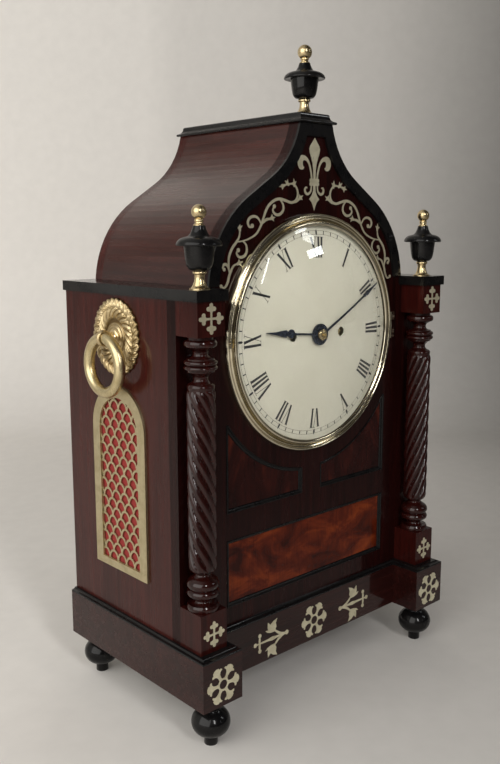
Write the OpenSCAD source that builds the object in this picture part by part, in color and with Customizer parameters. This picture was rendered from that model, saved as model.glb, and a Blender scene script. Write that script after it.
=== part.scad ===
/* [Plinth and feet] */
// Projection of the plinth beyond each side of the case
plinth_over = 6.25; // [4:0.25:9]
// Depth of the plinth from front to back
plinth_d = 217; // [207:1:227]
// Height of the plinth's wooden face
plinth_h = 45; // [42:0.5:52]
// Width of each plinth end block
end_block_w = 45.5; // [42:0.5:48]
// How far the plinth's middle stands behind its end blocks
plinth_set = 33; // [28:0.5:37]
// Thickness of the plinth's boards
plinth_board = 16; // [13:0.5:18]
// Height of the moulding that seats the case on the plinth
seat_mould_h = 3.5; // [2.5:0.25:5]
// Height of a foot
foot_h = 44; // [38:0.5:50]
// Radius of a foot's bun
foot_r = 18; // [15:0.5:19]
// Distance of a foot's centre from the plinth's side
foot_in_x = 23; // [20:0.5:28]
// Distance of a foot's centre from the plinth's front and back
foot_in_y = 18; // [17:0.5:24]

/* [Case] */
// Gap between the bezel and a corner block
block_gap = 23.25; // [20:0.25:26]
// How far the case's front board stands behind the plinth's front
front_set = 39.5; // [38:0.5:43]
// Side of a square corner block
block_w = 29.5; // [27:0.5:32]
// Height of a lower corner block
low_block_h = 40.5; // [34:0.5:46]
// Length of a column between its blocks
column_h = 244.5; // [236:0.5:254]
// Height of a capital block
cap_block_h = 30; // [27:0.5:34]
// Thickness of the cornice
cornice_h = 9.5; // [7:0.5:11]
// Overhang of the cornice
cornice_over = 2.5; // [1.5:0.25:4]
// Thickness of the front board
front_t = 12; // [10:0.5:14]
// Thickness of the side boards
side_t = 12; // [9:0.5:14]
// Thickness of the back frame
back_t = 12; // [10:0.5:14]
// Thickness of the base board
base_t = 10; // [8:0.5:14]

/* [Columns] */
// Radius of the rope-turned shaft
rope_r = 12.9; // [11.5:0.1:13.5]
// Depth of the hollows between strands
rope_groove = 2.4; // [1:0.1:3]
// Number of strands
strands = 8; // [6:1:10]
// Rise of a strand in one turn
rope_lead = 126; // [100:1:150]
// Radius of the turned rings
ring_r = 14.6; // [13.5:0.1:14.7]

/* [Roof] */
// Distance from the bezel's side to the roof's foot
roof_margin = 18.3; // [14:0.1:21]
// Radius of the roof's lower, convex curve
roof_r1 = 102; // [96:1:108]
// Radius of the roof's upper, hollow curve
roof_r2 = 80; // [74:1:86]
// Slope of the roof between its two curves
roof_slope = 32.6; // [30:0.2:36]
// Half width of the roof at its neck
roof_neck = 20; // [18:0.5:24]
// Thickness of the roof
roof_t = 8; // [6:0.5:10]
// Width of the ebonised border round the arched front
border_w = 12; // [9:0.5:14]
// How far the border stands in front of the front board
border_t = 2.7; // [1.5:0.1:4]
// Height of the top cap
cap_h = 9.4; // [7:0.1:11]
// Overhang of the top cap
cap_over = 3; // [2:0.5:4]
// Distance of the top finial behind the front board's face
top_finial_in = 14; // [11:0.5:30]

/* [Dial and bezel] */
// Depth of the dial's centre below the top of the cornice
dial_drop = 51.5; // [47:0.5:55]
// Outer radius of the bezel
bezel_r = 116; // [114:0.5:118]
// Width of the bezel's moulding
bezel_w = 11.5; // [10.5:0.5:14]
// Height of the bezel's sight ring in front of the board
bezel_h = 8; // [7.6:0.1:9]
// How far the dial plate reaches under the bezel
dial_lap = 2; // [1:0.1:2.5]
// Thickness of the dial plate
dial_t = 1.2; // [1:0.1:1.6]
// Bulge of the dial from edge to centre
dial_bulge = 5.5; // [4:0.1:6]
// Thickness of the glass
glass_t = 1.5; // [1.2:0.1:2]
// Bulge of the glass from edge to centre
glass_bulge = 17; // [16:0.1:20]
// How far the minute hand stops short of the bezel
minute_short = 3; // [2.5:0.5:12]
// Length of the hour hand
hour_len = 70; // [62:0.5:74]
// Distance of the winding holes from the dial's centre
wind_x = 33.8; // [33:0.1:35]
// Radius of a winding hole
wind_r = 4.8; // [4.2:0.1:5.5]

/* [Front panels] */
// Half width of the field that holds the panels
panel_half = 113; // [108:0.5:116]
// Width of the stile between the two upper panels
panel_stile = 26; // [20:0.5:32]
// Distance from the bezel to the arc that hollows the upper panels
panel_arc_gap = 17.5; // [13:0.5:21]
// Depth of the upper panels' lower edge below the dial's centre
upper_panel_drop = 159.5; // [155:0.5:164]
// Depth of the upper panels' outer corners below the dial's centre
upper_corner_drop = 75; // [71:0.5:83]
// Width of the rail between the upper panels and the lower one
mid_rail = 26; // [20:0.5:32]
// Height of the lower panel's lower edge above the base
lower_panel_z = 21.5; // [16:0.5:26]
// Depth of the panel recesses
panel_depth = 4; // [3:0.25:6]
// Width of the moulding round a panel
panel_mould_w = 4; // [3:0.25:6]
// Thickness of a panel's veneered board
panel_t = 2; // [1.5:0.25:2.5]

/* [Side frets and handles] */
// Half width of the fret's frame
fret_half = 42.5; // [40:0.5:45]
// Half width of the fret's netting
net_half = 31; // [29:0.5:33]
// Height of the fret's lower edge above the base
fret_z = 48; // [44:0.5:54]
// Gap between the fret's arch and the rosette
fret_clear = 9.5; // [6:0.5:16]
// Thickness of the fret's frame
fret_t = 2.4; // [1.8:0.1:3]
// Thickness of the fret's netting
net_t = 1.2; // [0.8:0.1:1.6]
// Width of one scale of the netting
scale_w = 14; // [13:0.5:16]
// Rise of one row of scales
scale_h = 8.9; // [8:0.1:10]
// Width of a strip of the netting
strip_w = 2.2; // [1.6:0.1:2.8]
// Depth of the handle's centre below the cornice
handle_drop = 39; // [36:0.5:43]
// Radius of the handle's rosette
rosette_r = 36.5; // [32:0.5:38]
// Mean radius of the handle's ring
handle_r = 25.3; // [23:0.1:27]
// Radius of the handle ring's section
handle_wire = 5.2; // [4:0.1:5.6]
// Distance of the ring from the side board
handle_out = 15; // [14:0.5:18]

/* [Finials] */
// Height of a side finial's stem
stem_h = 15.5; // [12:0.5:19]
// Height of a side finial's urn
urn_h = 37; // [33:0.5:41]
// Height of a side finial's knob
knob_h = 17.5; // [15:0.5:20]
// Height of the top finial's stem
top_stem_h = 14.3; // [11:0.1:18]
// Height of the top finial's urn
top_urn_h = 32.4; // [29:0.1:38]
// Height of the top finial's knob
top_knob_h = 16.8; // [14:0.1:20]
// Radius of an urn's rim
urn_r = 19.6; // [17:0.1:21]

/* [Back door] */
// Width of the back frame beside the door
door_stile = 50.75; // [46:0.25:58]
// Height of the back frame above the door
door_head = 13; // [11:0.5:25]
// Thickness of the back door
door_t = 10; // [8:0.5:11]
// Width of the back door's rails
door_rail = 30; // [24:1:36]
// Height of the door's lower edge above the base
door_z = 16; // [12:0.5:20]

/* [Movement] */
// Half width of the movement's plates
plate_half = 80; // [76:0.5:84]
// Thickness of the movement's plates
plate_t = 3; // [2.5:0.1:3.5]
// Distance between the movement's plates
plate_gap = 60; // [59.5:0.1:62]
// Distance of the front plate behind the front board's face
plate_in = 22; // [21.5:0.1:24]
// Height of the plates above the dial's centre
plate_up = 88; // [86:0.5:92]
// Depth of the plates below the dial's centre
plate_down = 100; // [98:0.5:106]
// Radius of a plain arbor
arbor_r = 1.5; // [1.3:0.1:1.7]
// Running clearance of an arbor in its plate
run_gap = 0.05; // [0.03:0.01:0.08]
// Radius of a barrel
barrel_r = 26; // [23:0.5:27]
// Length of a barrel
barrel_len = 38; // [34:0.5:42]
// Depth of the barrels' axes below the dial's centre
barrel_drop = 65; // [62:0.5:68]
// Half distance between the barrels' axes
barrel_x = 40; // [36:0.5:44]
// Largest radius of a fusee
fusee_r = 23; // [20:0.5:24]
// Length of the pendulum from its suspension to the bob's centre
pendulum_len = 205; // [190:1:215]
// Radius of the pendulum's bob
bob_r = 28; // [24:0.5:32]
// Radius of the bell's mouth
bell_r = 38; // [34:0.5:41]

/* [Hidden] */

wood = "#4a1d16";
flame = "#8a3416";
ebony = "#151517";
brass = "#b99a55";
steel = "#8d8f92";
blued = "#1f2738";
enamel = "#d9d2ba";
silk = "#9a2c28";
clear = [0.85, 0.9, 0.92, 0.35];

z_plinth = foot_h;
z_base = z_plinth + plinth_h;
z_column = z_base + low_block_h;
z_capital = z_column + column_h;
z_cornice = z_capital + cap_block_h;
z_top = z_cornice + cornice_h;
dial_z = z_top - dial_drop;

body_w = 2 * (bezel_r + block_gap + block_w);
inlay_t = 0.4;
y0 = (inlay_t - plinth_d - cap_over) / 2;
y_back = y0 + plinth_d;
y_front = y0 + front_set;
y_block = y_front - block_w;
y_side = (y_front + y_back) / 2;
plinth_w = body_w + 2 * plinth_over;
block_x = (body_w - block_w) / 2;
case_half = body_w / 2;
inner_half = case_half - side_t;

sight_r = bezel_r - bezel_w;
dial_r = sight_r + dial_lap;
minute_len = sight_r - minute_short;
handle_z = z_cornice - handle_drop;
roof_half = bezel_r + roof_margin;

// The roof's outline: an arc, a straight slope and a hollow arc, each tangent to the next
roof_foot = z_top - 8;
c1 = [roof_half - roof_r1, roof_foot];
e1 = c1 + roof_r1 * [sin(roof_slope), cos(roof_slope)];
slope_run = e1[0] - roof_neck - roof_r2 * (1 - sin(roof_slope));
e2 = e1 + slope_run * [-1, tan(roof_slope)];
c2 = e2 + roof_r2 * [sin(roof_slope), cos(roof_slope)];
roof_cut = 17;
z_roof = c2[1] - roof_cut;
roof_end = c2[0] - sqrt(roof_r2 * roof_r2 - roof_cut * roof_cut);
z_cap = z_roof + cap_h;

bezel_seat = 5.5;
dial_edge = 1.5;
dial_top = dial_edge + dial_bulge;
hand_t = 0.8;
hour_d = dial_top + 2.2;
minute_d = hour_d + 2.8;
hour_boss_r = 10.5;
collet_d = minute_d + hand_t + 0.2;
collet_h = 1.8;
collet_pin_r = 0.7;
pin_end = collet_d + collet_h + 2.2;
minute_sag = 7.6;
hour_sag = 2.6;
minute_angle = 62.9;
hour_angle = 275.2;

bezel_axis_x = bezel_r + 2.2;
bezel_axis_d = 2;
knuckle_r = 1.9;
knuckle_len = 9;
knuckle_gap = 0.3;
pin_r = 0.9;

plate_back = plate_in + plate_t;
plate_far = plate_back + plate_gap;
rear = plate_far + plate_t;
plate_low = dial_z - plate_down;

centre_teeth = 64;
third_leaves = 8;
train_module = 0.8125;
third_x = -8;
third_dist = train_module * (centre_teeth + third_leaves) / 2;
third_rise = sqrt(third_dist * third_dist - third_x * third_x);
third_teeth = 60;
third_r = 20.2;
escape_pinion_r = 2.8;
escape_rise = third_rise + 22.9;
escape_teeth = 30;
escape_r = 16;
pallet_rise = escape_rise + 24;
great_teeth = 72;
centre_leaves = 6;
great_module = 2 * wind_x / (great_teeth + centre_leaves);
cannon_leaves = 16;
minute_teeth = 48;
motion_dist = 24;
cannon_module = 2 * motion_dist / (cannon_leaves + minute_teeth);
minute_leaves = 12;
hour_teeth = 48;
hour_module = 2 * motion_dist / (minute_leaves + hour_teeth);
pendulum_in = rear + 15;
pendulum_y = y_front + pendulum_in;

// Points along a smooth curve through the listed ones
function blend(a, b, c, d, t) = 0.5 * (2 * b + (c - a) * t + (2 * a - 5 * b + 4 * c - d) * t * t
    + (3 * b - a - 3 * c + d) * t * t * t);
function curve(p, n) = let (last = len(p) - 1) concat([for (i = [0:last - 1]) for (k = [0:n - 1])
    blend(p[max(i - 1, 0)], p[i], p[i + 1], p[min(i + 2, last)], k / n)], [p[last]]);
function heading(q, i) = let (v = q[min(i + 1, len(q) - 1)] - q[max(i - 1, 0)]) v / norm(v);
function beside(q, i, w) = q[i] + w * [-heading(q, i)[1], heading(q, i)[0]];
function swell(i, m) = 0.45 + 0.55 * sin(180 * i / m);

// A ribbon that follows a curve and swells in its middle
module ribbon(p, half, n = 3) {
    q = curve(p, n);
    m = len(q) - 1;
    polygon(concat([for (i = [0:m]) beside(q, i, half * swell(i, m))],
        [for (i = [m:-1:0]) beside(q, i, -half * swell(i, m))]));
}

// Plates that stand across the case, and plates that lie along its sides
module upright(y, t) {
    translate([0, y + t, 0]) rotate([90, 0, 0]) linear_extrude(t) children();
}
module sideways(x, t) {
    translate([x, 0, 0]) rotate([90, 0, 90]) linear_extrude(t) children();
}
// Work on the dial's axis, with z pointing out of the front
module on_dial(x = 0, rise = 0, d = 0) {
    translate([x, y_front - d, dial_z + rise]) rotate([90, 0, 0]) children();
}
module both() {
    children();
    mirror([1, 0, 0]) children();
}

function half_roof(t, top) = let (b = asin((c2[1] - top) / (roof_r2 + t)), a = 90 - roof_slope)
    concat([[c1[0] + roof_r1 - t, roof_foot - 10]],
        [for (i = [0:12]) c1 + (roof_r1 - t) * [cos(a * i / 12), sin(a * i / 12)]],
        [for (i = [0:8]) c2 - (roof_r2 + t) * [cos(a + (b - a) * i / 8), sin(a + (b - a) * i / 8)]]);
// The roof's face drawn in by t, between the heights foot and top
module roof_face(t, foot, top) {
    h = half_roof(t, top);
    intersection() {
        polygon(concat(h, [for (i = [len(h) - 1:-1:0]) [-h[i][0], h[i][1]]]));
        translate([-roof_half - 1, foot]) square([2 * roof_half + 2, top - foot + 1]);
    }
}

// The plinth's plan, drawn in by k all round
module plinth_plan(k) {
    h = plinth_w / 2 - k;
    s = plinth_w / 2 - end_block_w + k;
    polygon([[-h, y0 + k], [-s, y0 + k], [-s, y0 + plinth_set + k], [s, y0 + plinth_set + k],
        [s, y0 + k], [h, y0 + k], [h, y_back], [-h, y_back]]);
}
module body_plan() {
    translate([-case_half, y_front]) square([body_w, y_back - y_front]);
    for (s = [-1, 1]) translate([s * block_x - block_w / 2, y_block]) square([block_w, block_w]);
}

foot_shape = [[0, 0], [6.3, 0], [6.3, 8.5], [8.5, 9.3], [foot_r * 0.75, 12], [foot_r * 0.94, 16.5],
    [foot_r, 21], [foot_r * 0.955, 26], [foot_r * 0.805, 30.5], [11, 33.8], [9.8, 35.5], [10.6, 37.5],
    [11, 39], [11, foot_h], [0, foot_h]];

module bun_feet() {
    color(ebony) for (x = [-1, 1], y = [y0 + foot_in_y, y_back - foot_in_y])
        translate([x * (plinth_w / 2 - foot_in_x), y, 0]) rotate_extrude($fn = 48) polygon(foot_shape);
}

module plinth_well(z, h) {
    translate([-plinth_w / 2 + plinth_board, y0 + plinth_set + plinth_board, z])
        cube([plinth_w - 2 * plinth_board, plinth_d - plinth_set - 2 * plinth_board, h]);
}

module plinth() {
    color(wood) difference() {
        translate([0, 0, z_plinth]) linear_extrude(plinth_h) plinth_plan(0);
        plinth_well(z_plinth - 1, plinth_h + 2);
    }
}

module base_board() {
    color(wood) plinth_well(z_base - base_t, base_t);
}

module seat_moulding() {
    color(ebony) for (step = [[0, 0, 0.45], [1.8, 0.45, 0.35], [3.6, 0.8, 0.2]])
        translate([0, 0, z_base + step[1] * seat_mould_h]) linear_extrude(step[2] * seat_mould_h)
            difference() {
                plinth_plan(step[0]);
                body_plan();
            }
}

// An arch with a flat foot: half width, foot and springing line
module arch(half, foot, spring) {
    translate([-half, foot]) square([2 * half, spring - foot]);
    intersection() {
        translate([0, spring]) circle(r = half, $fn = 64);
        translate([-half, spring - 0.01]) square([2 * half, half + 1]);
    }
}
fret_foot = z_base + fret_z;
fret_top = handle_z - rosette_r - fret_clear - fret_half;
net_foot = fret_foot + fret_half - net_half - 4;
silk_half = net_half + 3;

module case_side() {
    y1 = y_front + front_t;
    color(wood) difference() {
        sideways(case_half - side_t, side_t) difference() {
            translate([y1, z_base]) square([y_back - back_t - y1, z_cornice - z_base]);
            translate([y_side, 0]) arch(silk_half, net_foot - 3, fret_top);
        }
    }
}
module case_sides() { both() case_side(); }

// Outlines of the three sunk panels, drawn in by k
upper_panel_low = dial_z - upper_panel_drop;
lower_panel_h = upper_panel_low - mid_rail - z_base - lower_panel_z;
module upper_panel(k) {
    x0 = panel_stile / 2 + k;
    difference() {
        translate([x0, upper_panel_low + k])
            square([panel_half - k - x0, upper_panel_drop - upper_corner_drop - 2 * k]);
        translate([0, dial_z]) circle(r = bezel_r + panel_arc_gap + k, $fn = 128);
    }
}
module lower_panel(k) {
    translate([-panel_half + k, z_base + lower_panel_z + k])
        square([2 * (panel_half - k), lower_panel_h - 2 * k]);
}
module panel_fields(k) {
    upper_panel(k);
    mirror([1, 0]) upper_panel(k);
    lower_panel(k);
}

module case_front() {
    color(wood) difference() {
        union() {
            upright(y_front, front_t) translate([-case_half, z_base])
                square([body_w, z_cornice - z_base]);
            upright(y_front, front_t) roof_face(0, z_cornice - 5, z_roof);
        }
        on_dial(d = -front_t - 1) cylinder(r = dial_r + 1, h = front_t + 2, $fn = 128);
        upright(y_front - 1, panel_depth + 1) panel_fields(0);
    }
}

module front_panels() {
    color(flame) upright(y_front + panel_depth - panel_t, panel_t) panel_fields(panel_mould_w);
}

module panel_mouldings() {
    color(ebony) for (step = [[0, panel_depth + 0.8], [0.45, panel_depth - 0.6]])
        upright(y_front + panel_depth - step[1], step[1]) difference() {
            panel_fields(step[0] * panel_mould_w);
            panel_fields(step[0] == 0 ? 0.45 * panel_mould_w : panel_mould_w);
        }
}

module column_blocks() {
    color(wood) for (s = [-1, 1], b = [[z_base, low_block_h], [z_capital, cap_block_h]])
        translate([s * block_x - block_w / 2, y_block, b[0]]) cube([block_w, block_w, b[1]]);
}

// The column's turned foot and head, from the block inwards: radius and distance
foot_turning = [[0, 0], [ring_r, 0], [ring_r, 3.5], [ring_r - 1, 5.3], [9, 6], [7.8, 7.8], [8.2, 9.5],
    [11, 11.4], [ring_r - 0.8, 13], [ring_r, 15.5], [ring_r - 0.8, 17.5], [ring_r - 2.3, 19],
    [ring_r - 1, 20.5], [ring_r, 23], [ring_r - 0.6, 26], [11.5, 28.5], [8.5, 30.5], [7.2, 32.3],
    [8, 34], [10.8, 35.5], [rope_r - 1, 36.8], [0, 36.8]];
head_turning = [[0, 0], [11, 0], [11, 3], [ring_r - 1, 4], [ring_r - 0.4, 6], [ring_r - 0.6, 8.5],
    [11, 10], [7.6, 12], [6.5, 14.3], [6.8, 16.5], [9, 18.5], [12, 19.2], [12, 20.4],
    [ring_r - 0.3, 21.6], [ring_r, 22.6], [ring_r - 0.4, 23.8], [12.8, 24.9], [ring_r - 0.4, 26],
    [ring_r, 27.2], [ring_r - 0.5, 28.4], [12.2, 29.4], [12, 30.6], [8.2, 33], [6.4, 35.4],
    [6.4, 37.8], [8, 39.6], [11, 41.2], [rope_r - 0.6, 43.6], [rope_r - 0.6, 46.5], [0, 46.5]];
rope_foot = foot_turning[len(foot_turning) - 1][1];
rope_len = column_h - rope_foot - head_turning[len(head_turning) - 1][1];

// One lobe of the rope's section is a hollow and two shoulders
function lobe(k) = let (step = 360 / strands) [for (j = [[0, rope_groove], [0.3, 0.2], [0.7, 0.2]])
    (rope_r - j[1]) * [cos((k + j[0]) * step), sin((k + j[0]) * step)]];

module column(s) {
    color(wood) translate([s * block_x, (y_block + y_front) / 2, z_column]) {
        rotate_extrude($fn = 64) polygon(foot_turning);
        translate([0, 0, rope_foot]) linear_extrude(height = rope_len,
            twist = -s * 360 * rope_len / rope_lead, slices = 42)
            polygon([for (k = [0:strands - 1]) each lobe(k)]);
        translate([0, 0, column_h]) mirror([0, 0, 1]) rotate_extrude($fn = 64) polygon(head_turning);
    }
}
module column_left() { column(-1); }
module column_right() { column(1); }

module cornice() {
    x_in = block_x - block_w / 2 - cornice_over;
    x_out = case_half + cornice_over;
    x_roof = roof_half - roof_t - 6;
    y_board = y_front + front_t;
    y_frame = y_back - back_t;
    color(ebony) both() translate([0, 0, z_cornice]) linear_extrude(cornice_h) polygon([
        [x_in, y_block - cornice_over], [x_out, y_block - cornice_over],
        [x_out, y_back + cornice_over - 1], [roof_half, y_back + cornice_over - 1], [roof_half, y_frame],
        [x_roof, y_frame], [x_roof, y_board], [roof_half, y_board], [roof_half, y_front], [x_in, y_front]]);
}

module roof_shell() {
    y1 = y_front + front_t;
    color(wood) upright(y1, y_back - back_t - y1) difference() {
        roof_face(0, z_top, z_roof);
        roof_face(roof_t, z_top - 20, z_roof - roof_t);
    }
}

module arch_border() {
    color(ebony) upright(y_front - border_t, border_t) difference() {
        roof_face(0, z_top, z_roof);
        roof_face(border_w, z_top - 20, z_roof - border_w);
    }
}

module top_cap() {
    x1 = roof_end + cap_over;
    ya = y_front - border_t - cap_over;
    yb = y_back + cap_over;
    in = 6;
    edge = 1.5;
    color(ebony) intersection() {
        upright(ya, yb - ya) polygon([[-x1, z_roof], [x1, z_roof], [x1, z_roof + edge],
            [x1 - in, z_cap], [-x1 + in, z_cap], [-x1, z_roof + edge]]);
        sideways(-x1, 2 * x1) polygon([[ya, z_roof], [yb, z_roof], [yb, z_roof + edge],
            [yb - in, z_cap], [ya + in, z_cap], [ya, z_roof + edge]]);
    }
}

door_gap = 0.8;
door_low = z_base + door_z;
door_w = body_w - 2 * door_stile;
door_h = z_cornice - door_head - door_low;

module back_frame() {
    color(wood) difference() {
        union() {
            upright(y_back - back_t, back_t) translate([-case_half, z_base])
                square([body_w, z_cornice - z_base]);
            upright(y_back - back_t, back_t) roof_face(0, z_cornice - 5, z_roof);
        }
        upright(y_back - back_t - 1, back_t + 2) translate([-door_w / 2 - door_gap, door_low - door_gap])
            square([door_w + 2 * door_gap, door_h + 2 * door_gap]);
    }
}

// The door's hinge line lies behind its outer face
door_knuckle_r = 1.4;
door_axis_x = door_w / 2 + door_gap / 2;
door_axis_y = y_back + door_knuckle_r + 0.1;
door_leaf_t = 0.9;
door_pin_r = 0.7;
door_hinges = [door_low + 40, door_low + door_h - 40];

// A knuckle of the hinge at height z, from up to up + len, with its tongue to the leaf on side s
module door_knuckle(z, up, len, s) {
    translate([door_axis_x, door_axis_y, z + up]) cylinder(r = door_knuckle_r, h = len, $fn = 32);
    translate([door_axis_x + (s > 0 ? 0 : -4), y_back, z + up]) cube([4, door_leaf_t, len]);
}
module door_leaf(z, s) {
    translate([door_axis_x + (s > 0 ? 2 : -10), y_back, z - 18]) cube([8, door_leaf_t, 36]);
}

module back_door() {
    color(wood) difference() {
        upright(y_back - door_t, door_t) difference() {
            translate([-door_w / 2, door_low]) square([door_w, door_h]);
            translate([-door_w / 2 + door_rail, door_low + door_rail])
                square([door_w - 2 * door_rail, door_h - 2 * door_rail]);
        }
        upright(y_back - door_t - 1, 5) translate([-door_w / 2 + door_rail - 5, door_low + door_rail - 5])
            square([door_w - 2 * door_rail + 10, door_h - 2 * door_rail + 10]);
    }
    color(brass) for (z = door_hinges) difference() {
        union() {
            door_knuckle(z, -6, 12, -1);
            door_leaf(z, -1);
        }
        translate([door_axis_x, door_axis_y, z - 7]) cylinder(r = door_pin_r + run_gap, h = 14, $fn = 24);
    }
}

module back_door_glass() {
    color(clear) upright(y_back - door_t + 4 - 2, 2)
        translate([-door_w / 2 + door_rail - 4.6, door_low + door_rail - 4.6])
            square([door_w - 2 * door_rail + 9.2, door_h - 2 * door_rail + 9.2]);
}

module back_door_lock() {
    x = -door_w / 2 + door_rail / 2;
    z = door_low + door_h / 2;
    color(brass) {
        upright(y_back, 0.8) difference() {
            translate([x, z]) circle(r = 9, $fn = 48);
            translate([x, z + 2]) circle(r = 2, $fn = 24);
            translate([x - 0.9, z - 5]) square([1.8, 7]);
        }
        upright(y_back - door_t - 6, 6) translate([x - 12, z - 18]) square([22, 36]);
    }
}

// The frame's leaves carry the outer knuckles and the pins
module back_door_hinges() {
    color(brass) for (z = door_hinges) {
        for (up = [-18, 6 + knuckle_gap]) door_knuckle(z, up, 12 - knuckle_gap, 1);
        door_leaf(z, 1);
        translate([door_axis_x, door_axis_y, z - 18]) cylinder(r = door_pin_r, h = 36, $fn = 24);
    }
}

// A dome of radius r whose top is at height top and which falls by sag at that radius
function dome_r(r, sag) = (r * r + sag * sag) / (2 * sag);
module dome(r, sag, top) {
    translate([0, 0, top - dome_r(r, sag)]) sphere(r = dome_r(r, sag), $fn = 180);
}
module dome_sheet(r, sag, top, t) {
    intersection() {
        difference() {
            dome(r, sag, top);
            dome(r, sag, top - t);
        }
        children();
    }
}
glass_lap = 3;
glass_edge = sight_r + glass_lap;
glass_slope = tan(asin(glass_edge / dome_r(glass_edge, glass_bulge)));

// The turned section of the bezel, as radius and distance in front of the board
bezel_shape = [[bezel_r, 0], [bezel_r, 3.4], [bezel_r - 0.8, 5.2], [bezel_r - 2.2, 6],
    [bezel_r - 3.8, 5.4], [bezel_r - 4.6, 4], [bezel_r - 5.8, 3.4], [sight_r + 4.8, 4.4],
    [sight_r + 3.6, bezel_h - 1.2], [sight_r + 2.4, bezel_h], [sight_r + 0.8, bezel_h],
    [sight_r, bezel_h - 0.6], [sight_r, bezel_seat + 0.1 + glass_lap * glass_slope],
    [sight_r + glass_lap + 0.2, bezel_seat + 0.05], [sight_r + glass_lap + 0.2, 1.8], [sight_r + 4, 0]];

catch_x = bezel_r - 3.4;
catch_d = 3;

module bezel() {
    color(brass) {
        on_dial() difference() {
            rotate_extrude($fn = 180) polygon(bezel_shape);
            translate([-catch_x - 1.7, -4.1, catch_d]) cube([3.4, 8.2, 6]);
        }
        difference() {
            union() {
                on_dial(bezel_axis_x, -knuckle_len / 2, bezel_axis_d) rotate([-90, 0, 0])
                    cylinder(r = knuckle_r, h = knuckle_len, $fn = 32);
                on_dial(0, 0, 0.6) translate([bezel_r - 1, -knuckle_len / 2, 0])
                    cube([bezel_axis_x - bezel_r + 1, knuckle_len, 1.6]);
            }
            on_dial(bezel_axis_x, -knuckle_len / 2 - 1, bezel_axis_d) rotate([-90, 0, 0])
                cylinder(r = pin_r + run_gap, h = knuckle_len + 2, $fn = 32);
        }
    }
}

module bezel_hinge() {
    low = -knuckle_len / 2 - knuckle_gap - knuckle_len;
    high = knuckle_len / 2 + knuckle_gap;
    color(brass) {
        for (z = [low, high]) {
            on_dial(bezel_axis_x, z, bezel_axis_d) rotate([-90, 0, 0])
                cylinder(r = knuckle_r, h = knuckle_len, $fn = 32);
            on_dial(bezel_axis_x, z, 0) cube([9, knuckle_len, 0.8]);
        }
        on_dial(bezel_axis_x, low, bezel_axis_d) rotate([-90, 0, 0])
            cylinder(r = pin_r, h = high + knuckle_len - low, $fn = 32);
    }
}

module bezel_catch() {
    color(brass) on_dial(-catch_x, 0, catch_d) {
        translate([-1.6, -4, 0]) cube([3.2, 8, 3.4]);
        cylinder(r = 1.3, h = 4.8, $fn = 24);
    }
}

module bezel_glass() {
    color(clear) on_dial() dome_sheet(glass_edge, glass_bulge, bezel_seat + glass_bulge, glass_t)
        cylinder(r = glass_edge, h = 40, $fn = 128);
}

module dial_plate() {
    color(enamel) on_dial() difference() {
        dome_sheet(dial_r, dial_bulge, dial_top, dial_t)
            translate([0, 0, -5]) cylinder(r = dial_r, h = 20, $fn = 128);
        translate([0, 0, -5]) cylinder(r = 5, h = 20, $fn = 48);
        for (x = [-wind_x, wind_x]) translate([x, 0, -5]) cylinder(r = wind_r, h = 20, $fn = 48);
    }
}

dial_foot_r = 80;
module dial_feet() {
    low = dial_top - dial_t - dome_r(dial_r, dial_bulge)
        + sqrt(pow(dome_r(dial_r, dial_bulge), 2) - pow(dial_foot_r + 2.5, 2));
    color(brass) for (a = [45, 135, 225, 315])
        on_dial(dial_foot_r * cos(a), dial_foot_r * sin(a), -plate_in) {
            cylinder(r = 2.5, h = plate_in + low - 0.1, $fn = 32);
            translate([0, 0, 0]) cylinder(r = 4, h = 2, $fn = 32);
        }
}

// The hands lie along +y here and are bent to follow the dial
module leaf(r0, r1, wide) {
    polygon([[-0.5, r0], [-wide, r0 + 0.12 * (r1 - r0)], [-wide * 0.85, r0 + 0.24 * (r1 - r0)],
        [-wide * 0.42, r0 + 0.55 * (r1 - r0)], [-0.25, r1], [0.25, r1], [wide * 0.42, r0 + 0.55 * (r1 - r0)],
        [wide * 0.85, r0 + 0.24 * (r1 - r0)], [wide, r0 + 0.12 * (r1 - r0)], [0.5, r0]]);
}

module hour_hand() {
    disc = hour_len - 31;
    color(blued) on_dial() difference() {
        union() {
            rotate([0, 0, -hour_angle]) dome_sheet(hour_len, hour_sag, hour_d + hand_t, hand_t)
                linear_extrude(20) {
                    translate([-0.9, 0]) square([1.8, disc]);
                    translate([0, disc]) circle(r = 4.4, $fn = 32);
                    leaf(disc + 3, hour_len, 3.6);
                }
            translate([0, 0, hour_d - 0.3]) cylinder(r = hour_boss_r, h = hand_t + 0.7, $fn = 64);
        }
        translate([0, 0, 0]) cylinder(r = 4, h = 20, $fn = 48);
    }
}

module minute_hand() {
    disc = minute_len - 26;
    color(blued) on_dial() difference() {
        union() {
            rotate([0, 0, -minute_angle]) dome_sheet(minute_len, minute_sag, minute_d + hand_t, hand_t)
                linear_extrude(20) {
                    polygon([[-1.2, 0], [1.2, 0], [0.8, disc], [-0.8, disc]]);
                    translate([0, disc]) circle(r = 2, $fn = 24);
                    leaf(disc + 1, minute_len, 2.5);
                }
            translate([0, 0, minute_d - 0.1]) cylinder(r = 4.4, h = hand_t + 0.3, $fn = 48);
        }
        cylinder(r = 2.1, h = 20, $fn = 32);
    }
}

// The pin across the centre arbor's end, which holds the collet on
module cross_pin(r, len) {
    translate([0, 0, collet_d + collet_h + collet_pin_r + 0.05]) rotate([0, 90, -55])
        translate([0, 0, -len / 2]) cylinder(r = r, h = len, $fn = 16);
}
module hand_collet() {
    color(brass) on_dial() {
        difference() {
            translate([0, 0, collet_d]) rotate_extrude($fn = 48) polygon([[0, 0], [5.3, 0], [5.3, 0.6],
                [4.4, 1.2], [2.8, collet_h], [0, collet_h]]);
            cylinder(r = arbor_r + run_gap, h = 30, $fn = 24);
        }
        cross_pin(collet_pin_r, 9);
    }
}

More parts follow.
